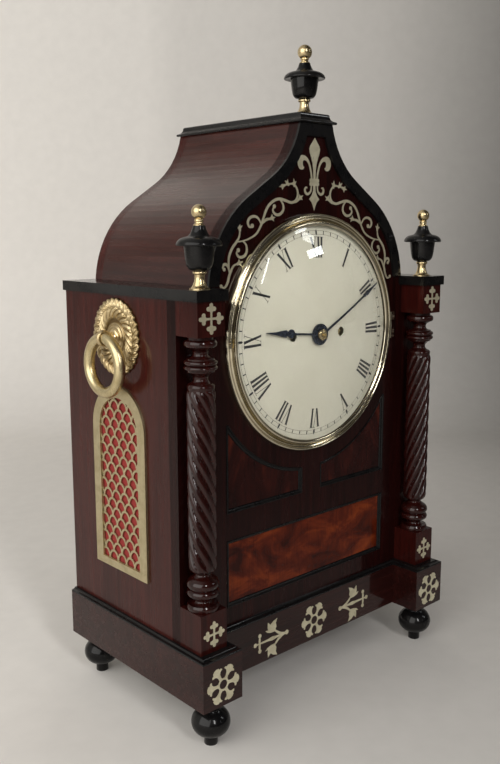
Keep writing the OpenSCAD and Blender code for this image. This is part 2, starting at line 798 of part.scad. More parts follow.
// A wheel's outline: teeth on a pitch circle, with one tooth centred at the phase angle
function tooth(n, rp, ph, k) = let (m = 2 * rp / n, a = ph + 360 * k / n, s = 180 / n) [
    for (j = [[-0.42, -1], [-0.2, 0.75], [0.2, 0.75], [0.42, -1]])
        (rp + j[1] * m) * [cos(a + j[0] * s), sin(a + j[0] * s)]];
module wheel_edge(n, rp, ph) {
    polygon([for (k = [0:n - 1]) each tooth(n, rp, ph, k)]);
}
// A crossed-out wheel: rim, four spokes and a collet
module wheel(n, rp, ph, t, rim, hub) {
    linear_extrude(t) {
        difference() {
            wheel_edge(n, rp, ph);
            circle(r = rp - rim, $fn = 64);
        }
        for (a = [0, 90]) rotate(a + 20) square([2 * (rp - rim) + 1, 3.2], center = true);
        circle(r = hub, $fn = 32);
    }
}
module arbor(front, back, r = arbor_r) {
    translate([0, 0, -back]) cylinder(r = r, h = back - front, $fn = 24);
}
module at_depth(e) { translate([0, 0, -e]) children(); }

hammer_place = [-54, plate_up - 14];
pin_place = [-wind_x, 0] + 39 * great_module * [-0.355, sqrt(1 - 0.355 * 0.355)];
fly_place = [-34, 66];
arbor_places = [[0, 0], [-wind_x, 0], [wind_x, 0], [-barrel_x, -barrel_drop], [barrel_x, -barrel_drop],
    [third_x, third_rise], [0, escape_rise], [0, pallet_rise], hammer_place, pin_place, fly_place];
pillar_places = [[-plate_half + 9, -plate_down + 9], [plate_half - 9, -plate_down + 9],
    [-plate_half + 9, plate_up - 9], [plate_half - 9, plate_up - 9]];

module plate_face() {
    difference() {
        translate([-plate_half, -plate_down]) square([2 * plate_half, plate_up + plate_down]);
        for (p = arbor_places) translate(p) circle(r = arbor_r + run_gap, $fn = 24);
    }
}
module front_plate() {
    color(brass) on_dial(d = -plate_back) linear_extrude(plate_t) difference() {
        plate_face();
        translate([0, -motion_dist]) circle(r = arbor_r + run_gap, $fn = 24);
    }
}
module back_plate() { color(brass) on_dial(d = -rear) linear_extrude(plate_t) plate_face(); }

module pillars() {
    color(brass) for (p = pillar_places) on_dial(p[0], p[1], -plate_far) {
        rotate_extrude($fn = 48) polygon([[0, 0], [5, 0], [5, 3], [3.6, 5], [3.2, 12],
            [4, plate_gap / 2 - 6], [5.2, plate_gap / 2], [4, plate_gap / 2 + 6],
            [3.2, plate_gap - 12], [3.6, plate_gap - 5],
            [5, plate_gap - 3], [5, plate_gap], [0, plate_gap]]);
        for (z = [-plate_t - 2, plate_gap + plate_t]) translate([0, 0, z])
            cylinder(r = 4.2, h = 2, $fn = 32);
    }
}

seat_board_t = 12;
module seat_board() {
    color(wood) {
        translate([-inner_half, y_front + plate_in - 8, plate_low - seat_board_t])
            cube([2 * inner_half, rear - plate_in + 12, seat_board_t]);
        both() translate([inner_half - 14, y_front + plate_in - 8, plate_low - seat_board_t - 16])
            cube([14, rear - plate_in + 12, 16]);
    }
}

module barrel(s) {
    color(brass) on_dial(s * barrel_x, -barrel_drop) {
        at_depth(plate_back + 8 + barrel_len) rotate_extrude($fn = 64) polygon([[arbor_r, 0],
            [barrel_r + 1.5, 0], [barrel_r + 1.5, 1.5], [barrel_r, 2], [barrel_r, barrel_len - 2],
            [barrel_r + 1.5, barrel_len - 1.5], [barrel_r + 1.5, barrel_len], [arbor_r, barrel_len]]);
        arbor(plate_in - 4, rear + 1);
    }
}
module going_barrel() { barrel(1); }
module strike_barrel() { barrel(-1); }

// The fusee's cone with a groove for each turn of the gut
fusee_turns = 8;
fusee_pitch = 3.6;
function fusee_edge(i) = fusee_r * pow(1 + 0.115 * i, -1);
cone_in = plate_back + 10;
cone_len = fusee_turns * fusee_pitch;
module fusee(s, depth) {
    color(brass) on_dial(s * wind_x) {
        at_depth(cone_in + cone_len) rotate_extrude($fn = 64) polygon(concat([[0, -3], [fusee_r, -3],
            [fusee_r, 0]], [for (i = [0:fusee_turns - 1]) each [
                [fusee_edge(i) - 1.2, (i + 0.5) * fusee_pitch], [fusee_edge(i + 1), (i + 1) * fusee_pitch]]],
            [[0, cone_len]]));
        at_depth(depth + 2.4) linear_extrude(2.4) {
            difference() {
                wheel_edge(great_teeth, great_r, 180 / great_teeth + (s > 0 ? 180 : strike_angle));
                circle(r = fusee_r - 3, $fn = 64);
            }
            circle(r = fusee_r - 2.5, $fn = 64);
        }
        at_depth(depth) cylinder(r = 6, h = depth - cone_in - cone_len - 3 + 0.1, $fn = 32);
        arbor(-2.5, rear + 1);
        at_depth(plate_in - 3) translate([-2.2, -2.2, 0]) cube([4.4, 4.4, plate_in]);
    }
}
great_r = great_module * great_teeth / 2;
strike_angle = acos(-0.355);
going_great_in = plate_far - 17;
strike_great_in = plate_far - 12;
module going_fusee() { fusee(1, going_great_in); }
module strike_fusee() { fusee(-1, strike_great_in); }

// The free stretch of each gut line: the straight line that touches barrel and fusee on their outsides
gut_r = 0.8;
gut_low_r = barrel_r + gut_r + 0.1;
gut_high_r = fusee_edge(0) - 1.2 + gut_r * 1.3;
gut_run = [wind_x - barrel_x, barrel_drop];
gut_lean = asin((gut_high_r - gut_low_r) / norm(gut_run));
gut_turn = atan2(gut_run[1], gut_run[0]) - 90 + gut_lean;
gut_normal = [cos(gut_turn), sin(gut_turn)];
module gut_lines() {
    low = [barrel_x, -barrel_drop] + gut_low_r * gut_normal;
    high = [wind_x, 0] + gut_high_r * gut_normal;
    color("#b08d57") both() on_dial(low[0], low[1], -cone_in - cone_len + fusee_pitch / 2)
        rotate([0, 0, gut_turn + 90]) rotate([0, 90, 0]) cylinder(r = gut_r, h = norm(high - low), $fn = 16);
}

module centre_wheel() {
    color(brass) on_dial() {
        at_depth(plate_back + 5) wheel(centre_teeth, train_module * centre_teeth / 2,
            third_angle + 180 / centre_teeth, 2, 3.5, 6);
        at_depth(going_great_in + 4.4) linear_extrude(6)
            wheel_edge(centre_leaves, great_module * centre_leaves / 2, 0);
        difference() {
            arbor(-pin_end, rear + 1);
            cross_pin(collet_pin_r + 0.05, 9);
        }
    }
}
third_angle = atan2(third_rise, third_x);

module cannon_pinion() {
    color(brass) on_dial() difference() {
        union() {
            at_depth(plate_in - 2) linear_extrude(4) wheel_edge(cannon_leaves,
                cannon_module * cannon_leaves / 2, 90);
            at_depth(plate_in - 2) cylinder(r = 2.95, h = plate_in - 2 + hour_d + 1.2, $fn = 32);
            cylinder(r = 2.1 - 0.02, h = minute_d + hand_t, $fn = 32);
        }
        at_depth(plate_in) cylinder(r = arbor_r + run_gap, h = 60, $fn = 24);
    }
}

module minute_wheel() {
    color(brass) on_dial(0, -motion_dist) {
        at_depth(plate_in - 3) wheel(minute_teeth, cannon_module * minute_teeth / 2,
            90 + 180 / minute_teeth, 2, 2.6, 5.5);
        at_depth(plate_in - 3) linear_extrude(9) wheel_edge(minute_leaves,
            hour_module * minute_leaves / 2, 90);
        arbor(plate_in - 14, plate_back + 1);
    }
}

module hour_wheel() {
    color(brass) on_dial() difference() {
        union() {
            at_depth(plate_in - 9.5) wheel(hour_teeth, hour_module * hour_teeth / 2,
                -90 + 180 / hour_teeth, 2, 3, 6);
            at_depth(plate_in - 8) cylinder(r = 3.97, h = plate_in - 8 + hour_d + hand_t + 0.2, $fn = 48);
        }
        at_depth(plate_in) cylinder(r = 3, h = 60, $fn = 32);
    }
}

module third_wheel() {
    color(brass) on_dial(third_x, third_rise) {
        at_depth(plate_far - 4.5) wheel(third_teeth, third_r, 0, 1.6, 3, 5);
        at_depth(plate_back + 6) linear_extrude(4) wheel_edge(third_leaves,
            train_module * third_leaves / 2, third_angle + 180);
        arbor(plate_in + 0.5, rear + 0.5);
    }
}

escape_in = plate_far - 26;
module escape_wheel() {
    color(brass) on_dial(0, escape_rise) {
        at_depth(escape_in + 1.5) linear_extrude(1.5) {
            difference() {
                polygon([for (k = [0:escape_teeth - 1]) each [
                    (escape_r - 2.6) * [cos(12 * k), sin(12 * k)],
                    escape_r * [cos(12 * k + 7), sin(12 * k + 7)],
                    escape_r * [cos(12 * k + 8), sin(12 * k + 8)],
                    (escape_r - 2.6) * [cos(12 * k + 9), sin(12 * k + 9)]]]);
                circle(r = escape_r - 5, $fn = 48);
            }
            for (a = [0, 90]) rotate(a) square([2 * escape_r - 9, 2.2], center = true);
            circle(r = 3.5, $fn = 32);
        }
        at_depth(plate_far - 2) linear_extrude(5) wheel_edge(8, 1.9, 0);
        arbor(plate_in + 0.5, rear + 0.5);
    }
}

crutch_in = rear + 7;
crutch_len = 55;
rod_r = 1.6;
module pallets() {
    span = 13;
    fork_end = pendulum_in + rod_r + 2.4;
    color(steel) on_dial(0, pallet_rise) {
        at_depth(escape_in + 2) linear_extrude(2.5) {
            circle(r = 4.5, $fn = 32);
            ribbon([[0, 0], [span * 0.6, -1.5], [span, -7], [span + 1.6, -12]], 2);
            ribbon([[0, 0], [-span * 0.6, -1.5], [-span, -7], [-span - 1.6, -12]], 2);
        }
        at_depth(crutch_in + 2) translate([-1.5, -crutch_len, 0]) cube([3, crutch_len, 2]);
        for (x = [-rod_r - 3, rod_r + 1]) at_depth(fork_end) translate([x, -crutch_len, 0])
            cube([2, 4, fork_end - crutch_in - 1]);
        at_depth(crutch_in + 3) translate([-rod_r - 3, -crutch_len, 0]) cube([2 * rod_r + 6, 4, 3]);
        arbor(plate_in + 0.5, crutch_in + 3);
    }
}

bob_t = 16;
module pendulum() {
    color(steel) translate([0, pendulum_y, dial_z + pallet_rise]) {
        translate([-0.2, -3, -14]) cube([0.4, 6, 13.9]);
        translate([-1.2, -3.4, -16]) cube([2.4, 6.8, 6]);
        translate([0, 0, -pendulum_len - bob_r - 10])
            cylinder(r = rod_r, h = pendulum_len + bob_r - 5, $fn = 24);
        translate([0, 0, -pendulum_len - bob_r - 5]) cylinder(r = 5, h = 4.5, $fn = 32);
    }
    color(brass) translate([0, pendulum_y, dial_z + pallet_rise - pendulum_len]) difference() {
        rotate([90, 0, 0]) rotate_extrude($fn = 64) polygon([[0, -bob_t / 2], [bob_r * 0.6, -bob_t * 0.4],
            [bob_r * 0.92, -bob_t * 0.2], [bob_r, -bob_t * 0.14], [bob_r, bob_t * 0.14],
            [bob_r * 0.92, bob_t * 0.2], [bob_r * 0.6, bob_t * 0.4], [0, bob_t / 2]]);
        cylinder(r = rod_r + 0.05, h = 3 * bob_r, center = true, $fn = 24);
    }
}

// The spring is clamped in the cock's chops, whose lower edge is level with the pallet arbor
module back_cock() {
    z = dial_z + pallet_rise;
    y = y_front + rear;
    color(brass) {
        translate([-14, y, z + 5]) cube([28, 3, 14]);
        translate([-6, y, z + 5]) cube([12, pendulum_in - rear + 4, 6]);
        translate([-4, pendulum_y - 4, z + 0.15]) cube([8, 8, 6]);
    }
}

bell_rise = 14;
bell_z = dial_z + plate_up + bell_rise;
bell_y = y_front + plate_back + plate_gap / 2;
module bell() {
    wall = [[0, 0.79], [0.22, 0.75], [0.53, 0.66], [0.77, 0.5], [0.9, 0.315], [0.96, 0.13], [1, 0],
        [0.92, 0], [0.885, 0.12], [0.825, 0.29], [0.7, 0.455], [0.48, 0.6], [0.2, 0.685], [0, 0.71]];
    color(brass) translate([0, bell_y, bell_z]) rotate_extrude($fn = 72) polygon(bell_r * wall);
    color(steel) translate([0, bell_y, dial_z + plate_up]) {
        cylinder(r = 2.95, h = bell_rise + 0.79 * bell_r + 3, $fn = 32);
        translate([0, 0, bell_rise + 0.645 * bell_r]) cylinder(r = 5, h = 3, $fn = 32);
        translate([0, 0, bell_rise + 0.79 * bell_r]) cylinder(r = 5, h = 3, $fn = 6);
        translate([-5, -plate_gap / 2 - plate_t, 0]) cube([10, plate_gap + 2 * plate_t, 4]);
    }
}

module bell_hammer() {
    head = [-bell_r - 7, bell_z - dial_z + 4];
    e = plate_back + plate_gap / 2;
    color(steel) on_dial() {
        translate([hammer_place[0], hammer_place[1], 0]) arbor(plate_in + 0.5, rear + 0.5);
        at_depth(e + 2) linear_extrude(4) {
            translate(hammer_place) circle(r = 4.5, $fn = 32);
            ribbon([hammer_place, hammer_place + [-3, 12], head + [-3, -9], head], 2.2);
        }
        at_depth(e) translate([head[0] - 5, head[1], 0]) rotate([0, 90, 0])
            cylinder(r = 5, h = 10, $fn = 32);
    }
}

// The pin wheel turns with the striking great wheel and carries the pins that lift the hammer
pin_wheel_r = 16;
pins = 8;
module pin_wheel() {
    color(brass) on_dial(pin_place[0], pin_place[1]) {
        at_depth(plate_far - 2.5) linear_extrude(1.5) difference() {
            circle(r = pin_wheel_r, $fn = 64);
            for (a = [0:90:270]) rotate(a) translate([7.8, 0]) circle(r = 3.4, $fn = 32);
        }
        for (i = [0:pins - 1]) rotate(360 * i / pins) translate([pin_wheel_r - 2, 0, -plate_far + 0.5])
            cylinder(r = 0.7, h = 3, $fn = 16);
        at_depth(strike_great_in + 4.4) linear_extrude(6)
            wheel_edge(centre_leaves, great_module * centre_leaves / 2, strike_angle + 180);
        arbor(plate_in + 0.5, rear + 0.5);
    }
}
fly_r = 12;
module fly() {
    color(steel) on_dial(fly_place[0], fly_place[1]) {
        at_depth(plate_far - 22) linear_extrude(28) {
            square([2 * fly_r, 0.8], center = true);
            circle(r = 2.4, $fn = 24);
        }
        arbor(plate_in + 0.5, rear + 0.5);
    }
}

module side_places() {
    for (s = [-1, 1]) translate([s * block_x, (y_block + y_front) / 2, z_top]) children();
}
module top_place() {
    translate([0, y_front + top_finial_in, z_cap]) children();
}
// A finial's pieces, from the heights of its stem, urn and knob and the radius of its ball
module urn(stem, high) {
    u = high / 37;
    translate([0, 0, stem]) rotate_extrude($fn = 64) polygon([[0, 0],
        [6.2, 0], [8.6, u], [10.7, 3.6 * u], [11.8, 8 * u], [12.6, 14 * u], [13.2, 20.6 * u],
        [urn_r - 1, 20.4 * u], [urn_r, 21.4 * u], [urn_r - 0.5, 23.4 * u], [urn_r - 2.6, 25.8 * u],
        [urn_r - 6, 27.6 * u], [9.4, 28.4 * u], [8.2, 29.6 * u], [6.4, 33 * u], [5.2, high], [0, high]]);
}
module stem_and_knob(stem, high, knob, ball) {
    s = stem / 15.5;
    k = (knob - ball) / 11.1;
    rotate_extrude($fn = 64) polygon([[0, 0], [9, 0], [9, 0.8 * s], [7, 2 * s], [5.2, 5 * s],
        [4.3, 9.5 * s], [4.3, 12 * s], [5.8, 13 * s], [5.8, 14.4 * s], [5, stem], [0, stem]]);
    translate([0, 0, stem + high]) {
        rotate_extrude($fn = 64) polygon([[0, 0], [4.8, 0], [4.8, 0.7 * k], [3.6, 1.8 * k],
            [3.2, 3.2 * k],
            [3.8, 4 * k], [3.8, 5 * k], [3.3, 6 * k], [0, 6 * k]]);
        translate([0, 0, knob - ball]) sphere(r = ball, $fn = 48);
    }
}
module finial_urns() {
    color(ebony) {
        side_places() urn(stem_h, urn_h);
        top_place() urn(top_stem_h, top_urn_h);
    }
}
module finial_brasses() {
    color(brass) {
        side_places() stem_and_knob(stem_h, urn_h, knob_h, 6.4);
        top_place() stem_and_knob(top_stem_h, top_urn_h, top_knob_h, 6.9);
    }
}

// A cross whose four arms end in a leaf of three lobes
module cross_shape(half) {
    for (a = [0, 90, 180, 270]) rotate(a) {
        polygon([[-0.9, 0], [0.9, 0], [1, half * 0.4], [2.4, half * 0.5], [-2.4, half * 0.5],
            [-1, half * 0.4]]);
        translate([0, half * 0.66]) circle(r = half * 0.2, $fn = 24);
        for (s = [-1, 1]) translate([s * half * 0.24, half * 0.62]) circle(r = half * 0.145, $fn = 24);
        translate([0, half * 0.86]) circle(r = half * 0.14, $fn = 24);
    }
}
module block_crosses() {
    upright(y_block - inlay_t, inlay_t) for (s = [-1, 1]) {
        translate([s * block_x, z_capital + cap_block_h / 2 + 0.5]) cross_shape(block_w * 0.45);
        translate([s * block_x, z_base + low_block_h / 2]) cross_shape(block_w * 0.41);
    }
}

// A rosette of six splayed arms round a ring, each arm ending in three points
module rosette_shape(r) {
    difference() {
        circle(r = r * 0.33, $fn = 32);
        circle(r = r * 0.235, $fn = 32);
    }
    arm = [[0.3, 0.1], [0.45, 0.075], [0.6, 0.11], [0.7, 0.19], [0.74, 0.35], [0.83, 0.31], [0.85, 0.2],
        [0.93, 0.2], [1, 0.07]];
    for (a = [0:60:300]) rotate(a) polygon(concat([for (p = arm) [p[0] * r, -p[1] * r]],
        [for (i = [len(arm) - 1:-1:0]) [arm[i][0] * r, arm[i][1] * r]]));
}
// A spindle with a ball at one end, three knobs at the other, and a leaf on each side
module spray_shape() {
    circle(r = 2.4, $fn = 24);
    translate([2, 0]) circle(r = 1.6, $fn = 24);
    polygon([[2, -1], [14, -1.2], [20, -2], [26, -1.2], [35, -0.9], [35, 0.9], [26, 1.2], [20, 2], [14, 1.2],
        [2, 1]]);
    translate([43, 0]) circle(r = 2.2, $fn = 24);
    translate([34, -0.8]) square([9, 1.6]);
    for (s = [-1, 1]) mirror([0, s > 0 ? 0 : 1]) {
        ribbon([[37, 0], [37.4, 3], [37, 7]], 1.3);
        translate([37, 8]) circle(r = 2.1, $fn = 24);
        ribbon([[3, 0.5], [8, 1.6], [13, 4.4], [18, 9]], 1.3);
        polygon([[17, 6.4], [22, 6.6], [27, 8], [29.6, 10.6], [26, 10.2], [26.6, 13], [26, 18.4], [22.6, 15],
            [19, 17.6], [13.4, 19.4], [15.4, 15], [14.6, 11]]);
    }
}
module front_inlays() {
    z = z_plinth + plinth_h * 0.46;
    color(brass) {
        block_crosses();
        upright(y0 - inlay_t, inlay_t) for (s = [-1, 1])
            translate([s * (plinth_w - end_block_w) / 2, z]) rosette_shape(18.5);
        upright(y0 + plinth_set - inlay_t, inlay_t) {
            translate([0, z]) rosette_shape(18.5);
            for (s = [-1, 1]) mirror([s > 0 ? 0 : 1, 0]) translate([40, z]) spray_shape();
        }
    }
}

// The upright lily over the dial, placed from the bezel's top
module lily_shape() {
    polygon([[0, 67.2], [-1.7, 65], [-4, 62.2], [-6.1, 59.8], [-7.3, 56.5], [-6.5, 52.9], [-4.8, 49], [-2.7, 43.5],
        [-1.6, 36.4], [-1.3, 28], [1.3, 28], [1.6, 36.4], [2.7, 43.5], [4.8, 49], [6.5, 52.9], [7.3, 56.5],
        [6.1, 59.8], [4, 62.2], [1.7, 65]]);
    polygon([[-5.8, 22.6], [5.8, 22.6], [6.5, 23.6], [6.5, 25.2], [5.7, 26], [6.5, 26.8], [6.3, 28.8], [5.6, 29.4],
        [-5.6, 29.4], [-6.3, 28.8], [-6.5, 26.8], [-5.7, 26], [-6.5, 25.2], [-6.5, 23.6]]);
    polygon([[0, -0.6], [1.6, 3.6], [3.6, 7.4], [7, 10.2], [3.7, 13.4], [1.7, 17.6], [1.3, 24], [-1.3, 24],
        [-1.7, 17.6], [-3.7, 13.4], [-7, 10.2], [-3.6, 7.4], [-1.6, 3.6]]);
    for (s = [-1, 1]) mirror([s > 0 ? 0 : 1, 0]) {
        polygon(concat(curve(petal_outside, 3), curve(petal_inside, 3)));
        ribbon([[4, 24], [4.6, 18.4], [6.8, 15.8], [9.6, 14.8], [12.2, 16.3], [12.9, 19], [11.6, 20.9],
            [9.8, 20.5]], 1.25);
    }
}
petal_outside = [[2.6, 28], [3.3, 33.4], [4.5, 38.1], [6.4, 43.3], [9.2, 47.5], [12.3, 49.6], [16.3, 50.6],
    [20.1, 49.4], [22.3, 46.6], [22.9, 42.8], [21.7, 39.5], [19.5, 37.4], [16.8, 37.1], [15, 37.9], [14, 39.8]];
petal_inside = [[15.4, 40], [16.1, 41.9], [16.2, 44.2], [15, 45.7], [12.4, 45.7], [10.2, 44.5], [8.1, 41.9],
    [6.6, 38.1], [5.3, 33.4], [4.5, 28]];
// Three small leaves that end a scroll
module tuft(x, z, a) {
    translate([x, z]) rotate(a) polygon([[-1.4, -1.1], [1, -1.3], [3.4, -3.4], [3.2, -1], [6.4, -0.2], [3.2, 1.1],
        [2.6, 3.6], [0.6, 1.5], [-1.4, 1.1]]);
}
// One side's scrolls, as places across from the dial's centre line and above the dial's centre
scrolls = [
    [[-118, 51], [-114, 50], [-110.5, 54], [-108.5, 60], [-106, 65], [-103, 69], [-99, 70.5]],
    [[-108, 62], [-109, 67], [-111.5, 70.2], [-114.6, 70.2], [-115.8, 67.8], [-114.4, 65.6]],
    [[-108, 62], [-109, 70], [-108.5, 77], [-105, 84], [-100, 89.5], [-96.5, 94], [-95.5, 100]],
    [[-98, 90], [-90, 91], [-82, 93.5], [-75.5, 97], [-71, 102.5], [-67.5, 109], [-64.5, 116], [-60, 122.5],
        [-53, 127], [-46, 128.5], [-38, 127], [-31, 125.5], [-25, 127.5], [-22.4, 133], [-24, 139],
        [-29, 142.5], [-36, 142], [-43, 140.5]],
    [[-92, 90.5], [-88, 87], [-87.5, 81], [-91, 77], [-96.5, 76.5], [-99.5, 80], [-97.5, 83]],
    [[-69.5, 105.5], [-73, 110.5], [-78, 112.5], [-83.5, 111], [-86, 107], [-84, 103], [-80, 103]],
    [[-46.5, 128.5], [-42, 124], [-41.5, 118.5], [-46, 114.5], [-51.5, 114.5], [-55, 118], [-53, 122]],
    [[-67.5, 106.5], [-63.5, 109.5], [-58, 110.5]],
    [[-28, 125.5], [-24, 127], [-19.5, 129.5]]];
scroll_buds = [[-114.2, 66, 1.6], [-118, 51.5, 1.6], [-97.5, 82.6, 1.9], [-80.6, 104, 2], [-53, 121.6, 1.9]];
scroll_tufts = [[-98, 70.5, 20], [-95.5, 100.5, 95], [-57.5, 110.5, 15], [-27, 141.3, 100], [-35, 142, 145],
    [-41, 140.8, 195], [-20.5, 129, 35]];
module arch_inlays() {
    color(brass) upright(y_front - inlay_t, inlay_t) intersection() {
        roof_face(border_w + 0.3, z_top - 20, z_roof - border_w - 0.3);
        union() {
            translate([0, dial_z + bezel_r + 3]) scale(bezel_r / 116) lily_shape();
            for (s = [-1, 1]) mirror([s > 0 ? 1 : 0, 0]) translate([0, dial_z]) scale(bezel_r / 116) {
                for (p = scrolls) ribbon(p, 1.3);
                for (b = scroll_buds) translate([b[0], b[1]]) circle(r = b[2], $fn = 20);
                for (b = scroll_tufts) tuft(b[0], b[1], b[2]);
            }
        }
    }
}

// The opening under one scale: a round head over two hollow flanks that meet in a point
opening_head = [for (i = [0:8]) let (a = 9 + i * 20.25) [(scale_w - strip_w) / 2 * cos(a),
    (scale_h - strip_w / 2) * sin(a)]];
function flank(b) = [-scale_w / 2 + (scale_w + strip_w) / 2 * cos(b),
    -scale_h + (scale_h + strip_w / 2) * sin(b)];
flank_end = acos(scale_w / (scale_w + strip_w));
flank_start = 81;
left_flank = [for (i = [0:3]) flank(flank_start + (flank_end - flank_start) * i / 3)];
scale_opening = concat(opening_head, left_flank,
    [for (i = [2:-1:0]) [-left_flank[i][0], left_flank[i][1]]]);
net_rows = ceil((fret_top + net_half - net_foot) / scale_h) + 1;
net_cols = ceil(net_half / scale_w) + 1;

module fret() {
    color(brass) {
        sideways(case_half, fret_t) translate([y_side, 0]) difference() {
            arch(fret_half, fret_foot, fret_top);
            arch(net_half, net_foot, fret_top);
        }
        sideways(case_half, net_t) translate([y_side, 0]) difference() {
            arch(net_half + 0.01, net_foot - 0.01, fret_top);
            intersection() {
                arch(net_half - 0.3, net_foot + 0.3, fret_top);
                for (row = [0:net_rows], col = [-net_cols:net_cols])
                    translate([(col + (row % 2) / 2) * scale_w, net_foot + row * scale_h])
                        polygon(scale_opening);
            }
        }
    }
}
module side_frets() { both() fret(); }
module fret_silks() {
    color(silk) both() sideways(case_half - 1.2, 1) translate([y_side, 0])
        arch(silk_half - 0.1, net_foot - 2.9, fret_top);
}

// The eye flares, because the ring that swings in it is curved
eye_half = 2.4;
function eye_r(y) = handle_wire + 0.35 + handle_r - sqrt(handle_r * handle_r - y * y);
module handle_eye() {
    rotate_extrude($fn = 48) polygon(concat([[0, 9]], [for (y = [9:-3:-9]) [eye_r(y), y]], [[0, -9]]));
}
module handle_rosette() {
    color(brass) {
        translate([case_half, y_side, handle_z]) rotate([0, 90, 0]) {
            linear_extrude(1.6) polygon([for (i = [0:71])
                (rosette_r - (i % 2) * 1.8) * [cos(5 * i), sin(5 * i)]]);
            rotate_extrude($fn = 72) polygon([[0, 1.6], [rosette_r - 2.5, 1.6], [rosette_r - 4.5, 4.2],
                [rosette_r - 8, 4.6], [rosette_r - 11, 3], [rosette_r - 15, 4.8], [rosette_r - 20, 4.4],
                [rosette_r - 22, 3], [9, 3.4], [7, 5.4], [0, 5.4]]);
        }
        difference() {
            translate([case_half, y_side, handle_z]) rotate([0, 90, 0]) {
                cylinder(r = 5, h = handle_out - handle_wire, $fn = 48);
                translate([0, eye_half, handle_out]) rotate([90, 0, 0])
                    cylinder(r = handle_wire + 2.2, h = 2 * eye_half, $fn = 48);
            }
            translate([case_half + handle_out, y_side, handle_z]) rotate([90, 0, 0]) handle_eye();
        }
    }
}
module handle_rosettes() { both() handle_rosette(); }
module ring_handle() {
    color(brass) translate([case_half + handle_out, y_side, handle_z - handle_r])
        rotate([0, 90, 0]) rotate_extrude($fn = 96)
            translate([handle_r, 0]) circle(r = handle_wire, $fn = 48);
}
module ring_handle_right() { ring_handle(); }
module ring_handle_left() { mirror([1, 0, 0]) ring_handle(); }

bun_feet();
plinth();
base_board();
seat_moulding();
case_sides();
case_front();
front_panels();
panel_mouldings();
column_blocks();
column_left();
column_right();
cornice();
roof_shell();
arch_border();
top_cap();
back_frame();
finial_urns();
finial_brasses();
front_inlays();
arch_inlays();
side_frets();
fret_silks();
handle_rosettes();
ring_handle_left();
ring_handle_right();
back_door();
back_door_glass();
back_door_lock();
back_door_hinges();
bezel();
bezel_glass();
bezel_catch();
bezel_hinge();
dial_plate();
dial_feet();
hour_hand();
minute_hand();
hand_collet();
front_plate();
back_plate();
pillars();
seat_board();
going_barrel();
strike_barrel();
going_fusee();
strike_fusee();
gut_lines();
centre_wheel();
cannon_pinion();
minute_wheel();
hour_wheel();
third_wheel();
escape_wheel();
pallets();
pendulum();
back_cock();
bell();
bell_hammer();
pin_wheel();
fly();
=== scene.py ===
"""The looks of a mahogany bracket clock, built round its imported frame."""

import math

import bmesh
import bpy
from mathutils import Matrix, Vector


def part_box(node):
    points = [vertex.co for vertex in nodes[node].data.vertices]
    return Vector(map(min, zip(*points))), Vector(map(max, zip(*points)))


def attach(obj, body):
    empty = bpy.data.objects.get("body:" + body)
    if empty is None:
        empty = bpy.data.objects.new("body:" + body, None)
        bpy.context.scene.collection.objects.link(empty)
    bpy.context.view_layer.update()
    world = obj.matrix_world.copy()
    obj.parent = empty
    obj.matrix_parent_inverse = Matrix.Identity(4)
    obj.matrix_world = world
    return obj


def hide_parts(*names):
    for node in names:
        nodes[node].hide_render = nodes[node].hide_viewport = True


MM = 0.001
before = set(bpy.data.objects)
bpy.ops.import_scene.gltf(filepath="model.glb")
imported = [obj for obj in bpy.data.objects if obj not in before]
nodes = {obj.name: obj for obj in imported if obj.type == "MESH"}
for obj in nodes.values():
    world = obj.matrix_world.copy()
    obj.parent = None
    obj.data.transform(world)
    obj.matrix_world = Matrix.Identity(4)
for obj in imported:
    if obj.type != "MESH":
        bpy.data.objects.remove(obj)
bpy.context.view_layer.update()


# Materials


def add_node(tree, kind, **values):
    """A node whose sockets or settings take the given values. Spaces in names are underscores."""
    made = tree.nodes.new(kind)
    for key, value in values.items():
        socket = made.inputs.get(key.replace("_", " "))
        if hasattr(value, "is_output"):
            tree.links.new(value, socket)
        elif socket is not None:
            socket.default_value = value
        else:
            setattr(made, key, value)
    return made


def add_ramp(tree, fac, *stops):
    """A ramp of colours or greys along fac, from (position, colour) pairs."""
    made = add_node(tree, "ShaderNodeValToRGB", Fac=fac)
    elements = made.color_ramp.elements
    elements[0].position = stops[0][0]
    elements[1].position = stops[-1][0]
    for at, _ in stops[1:-1]:
        elements.new(at)
    for element, (_, colour) in zip(elements, stops):
        grey = (colour, colour, colour) if isinstance(colour, (int, float)) else colour
        element.color = (*grey, 1)
    return made


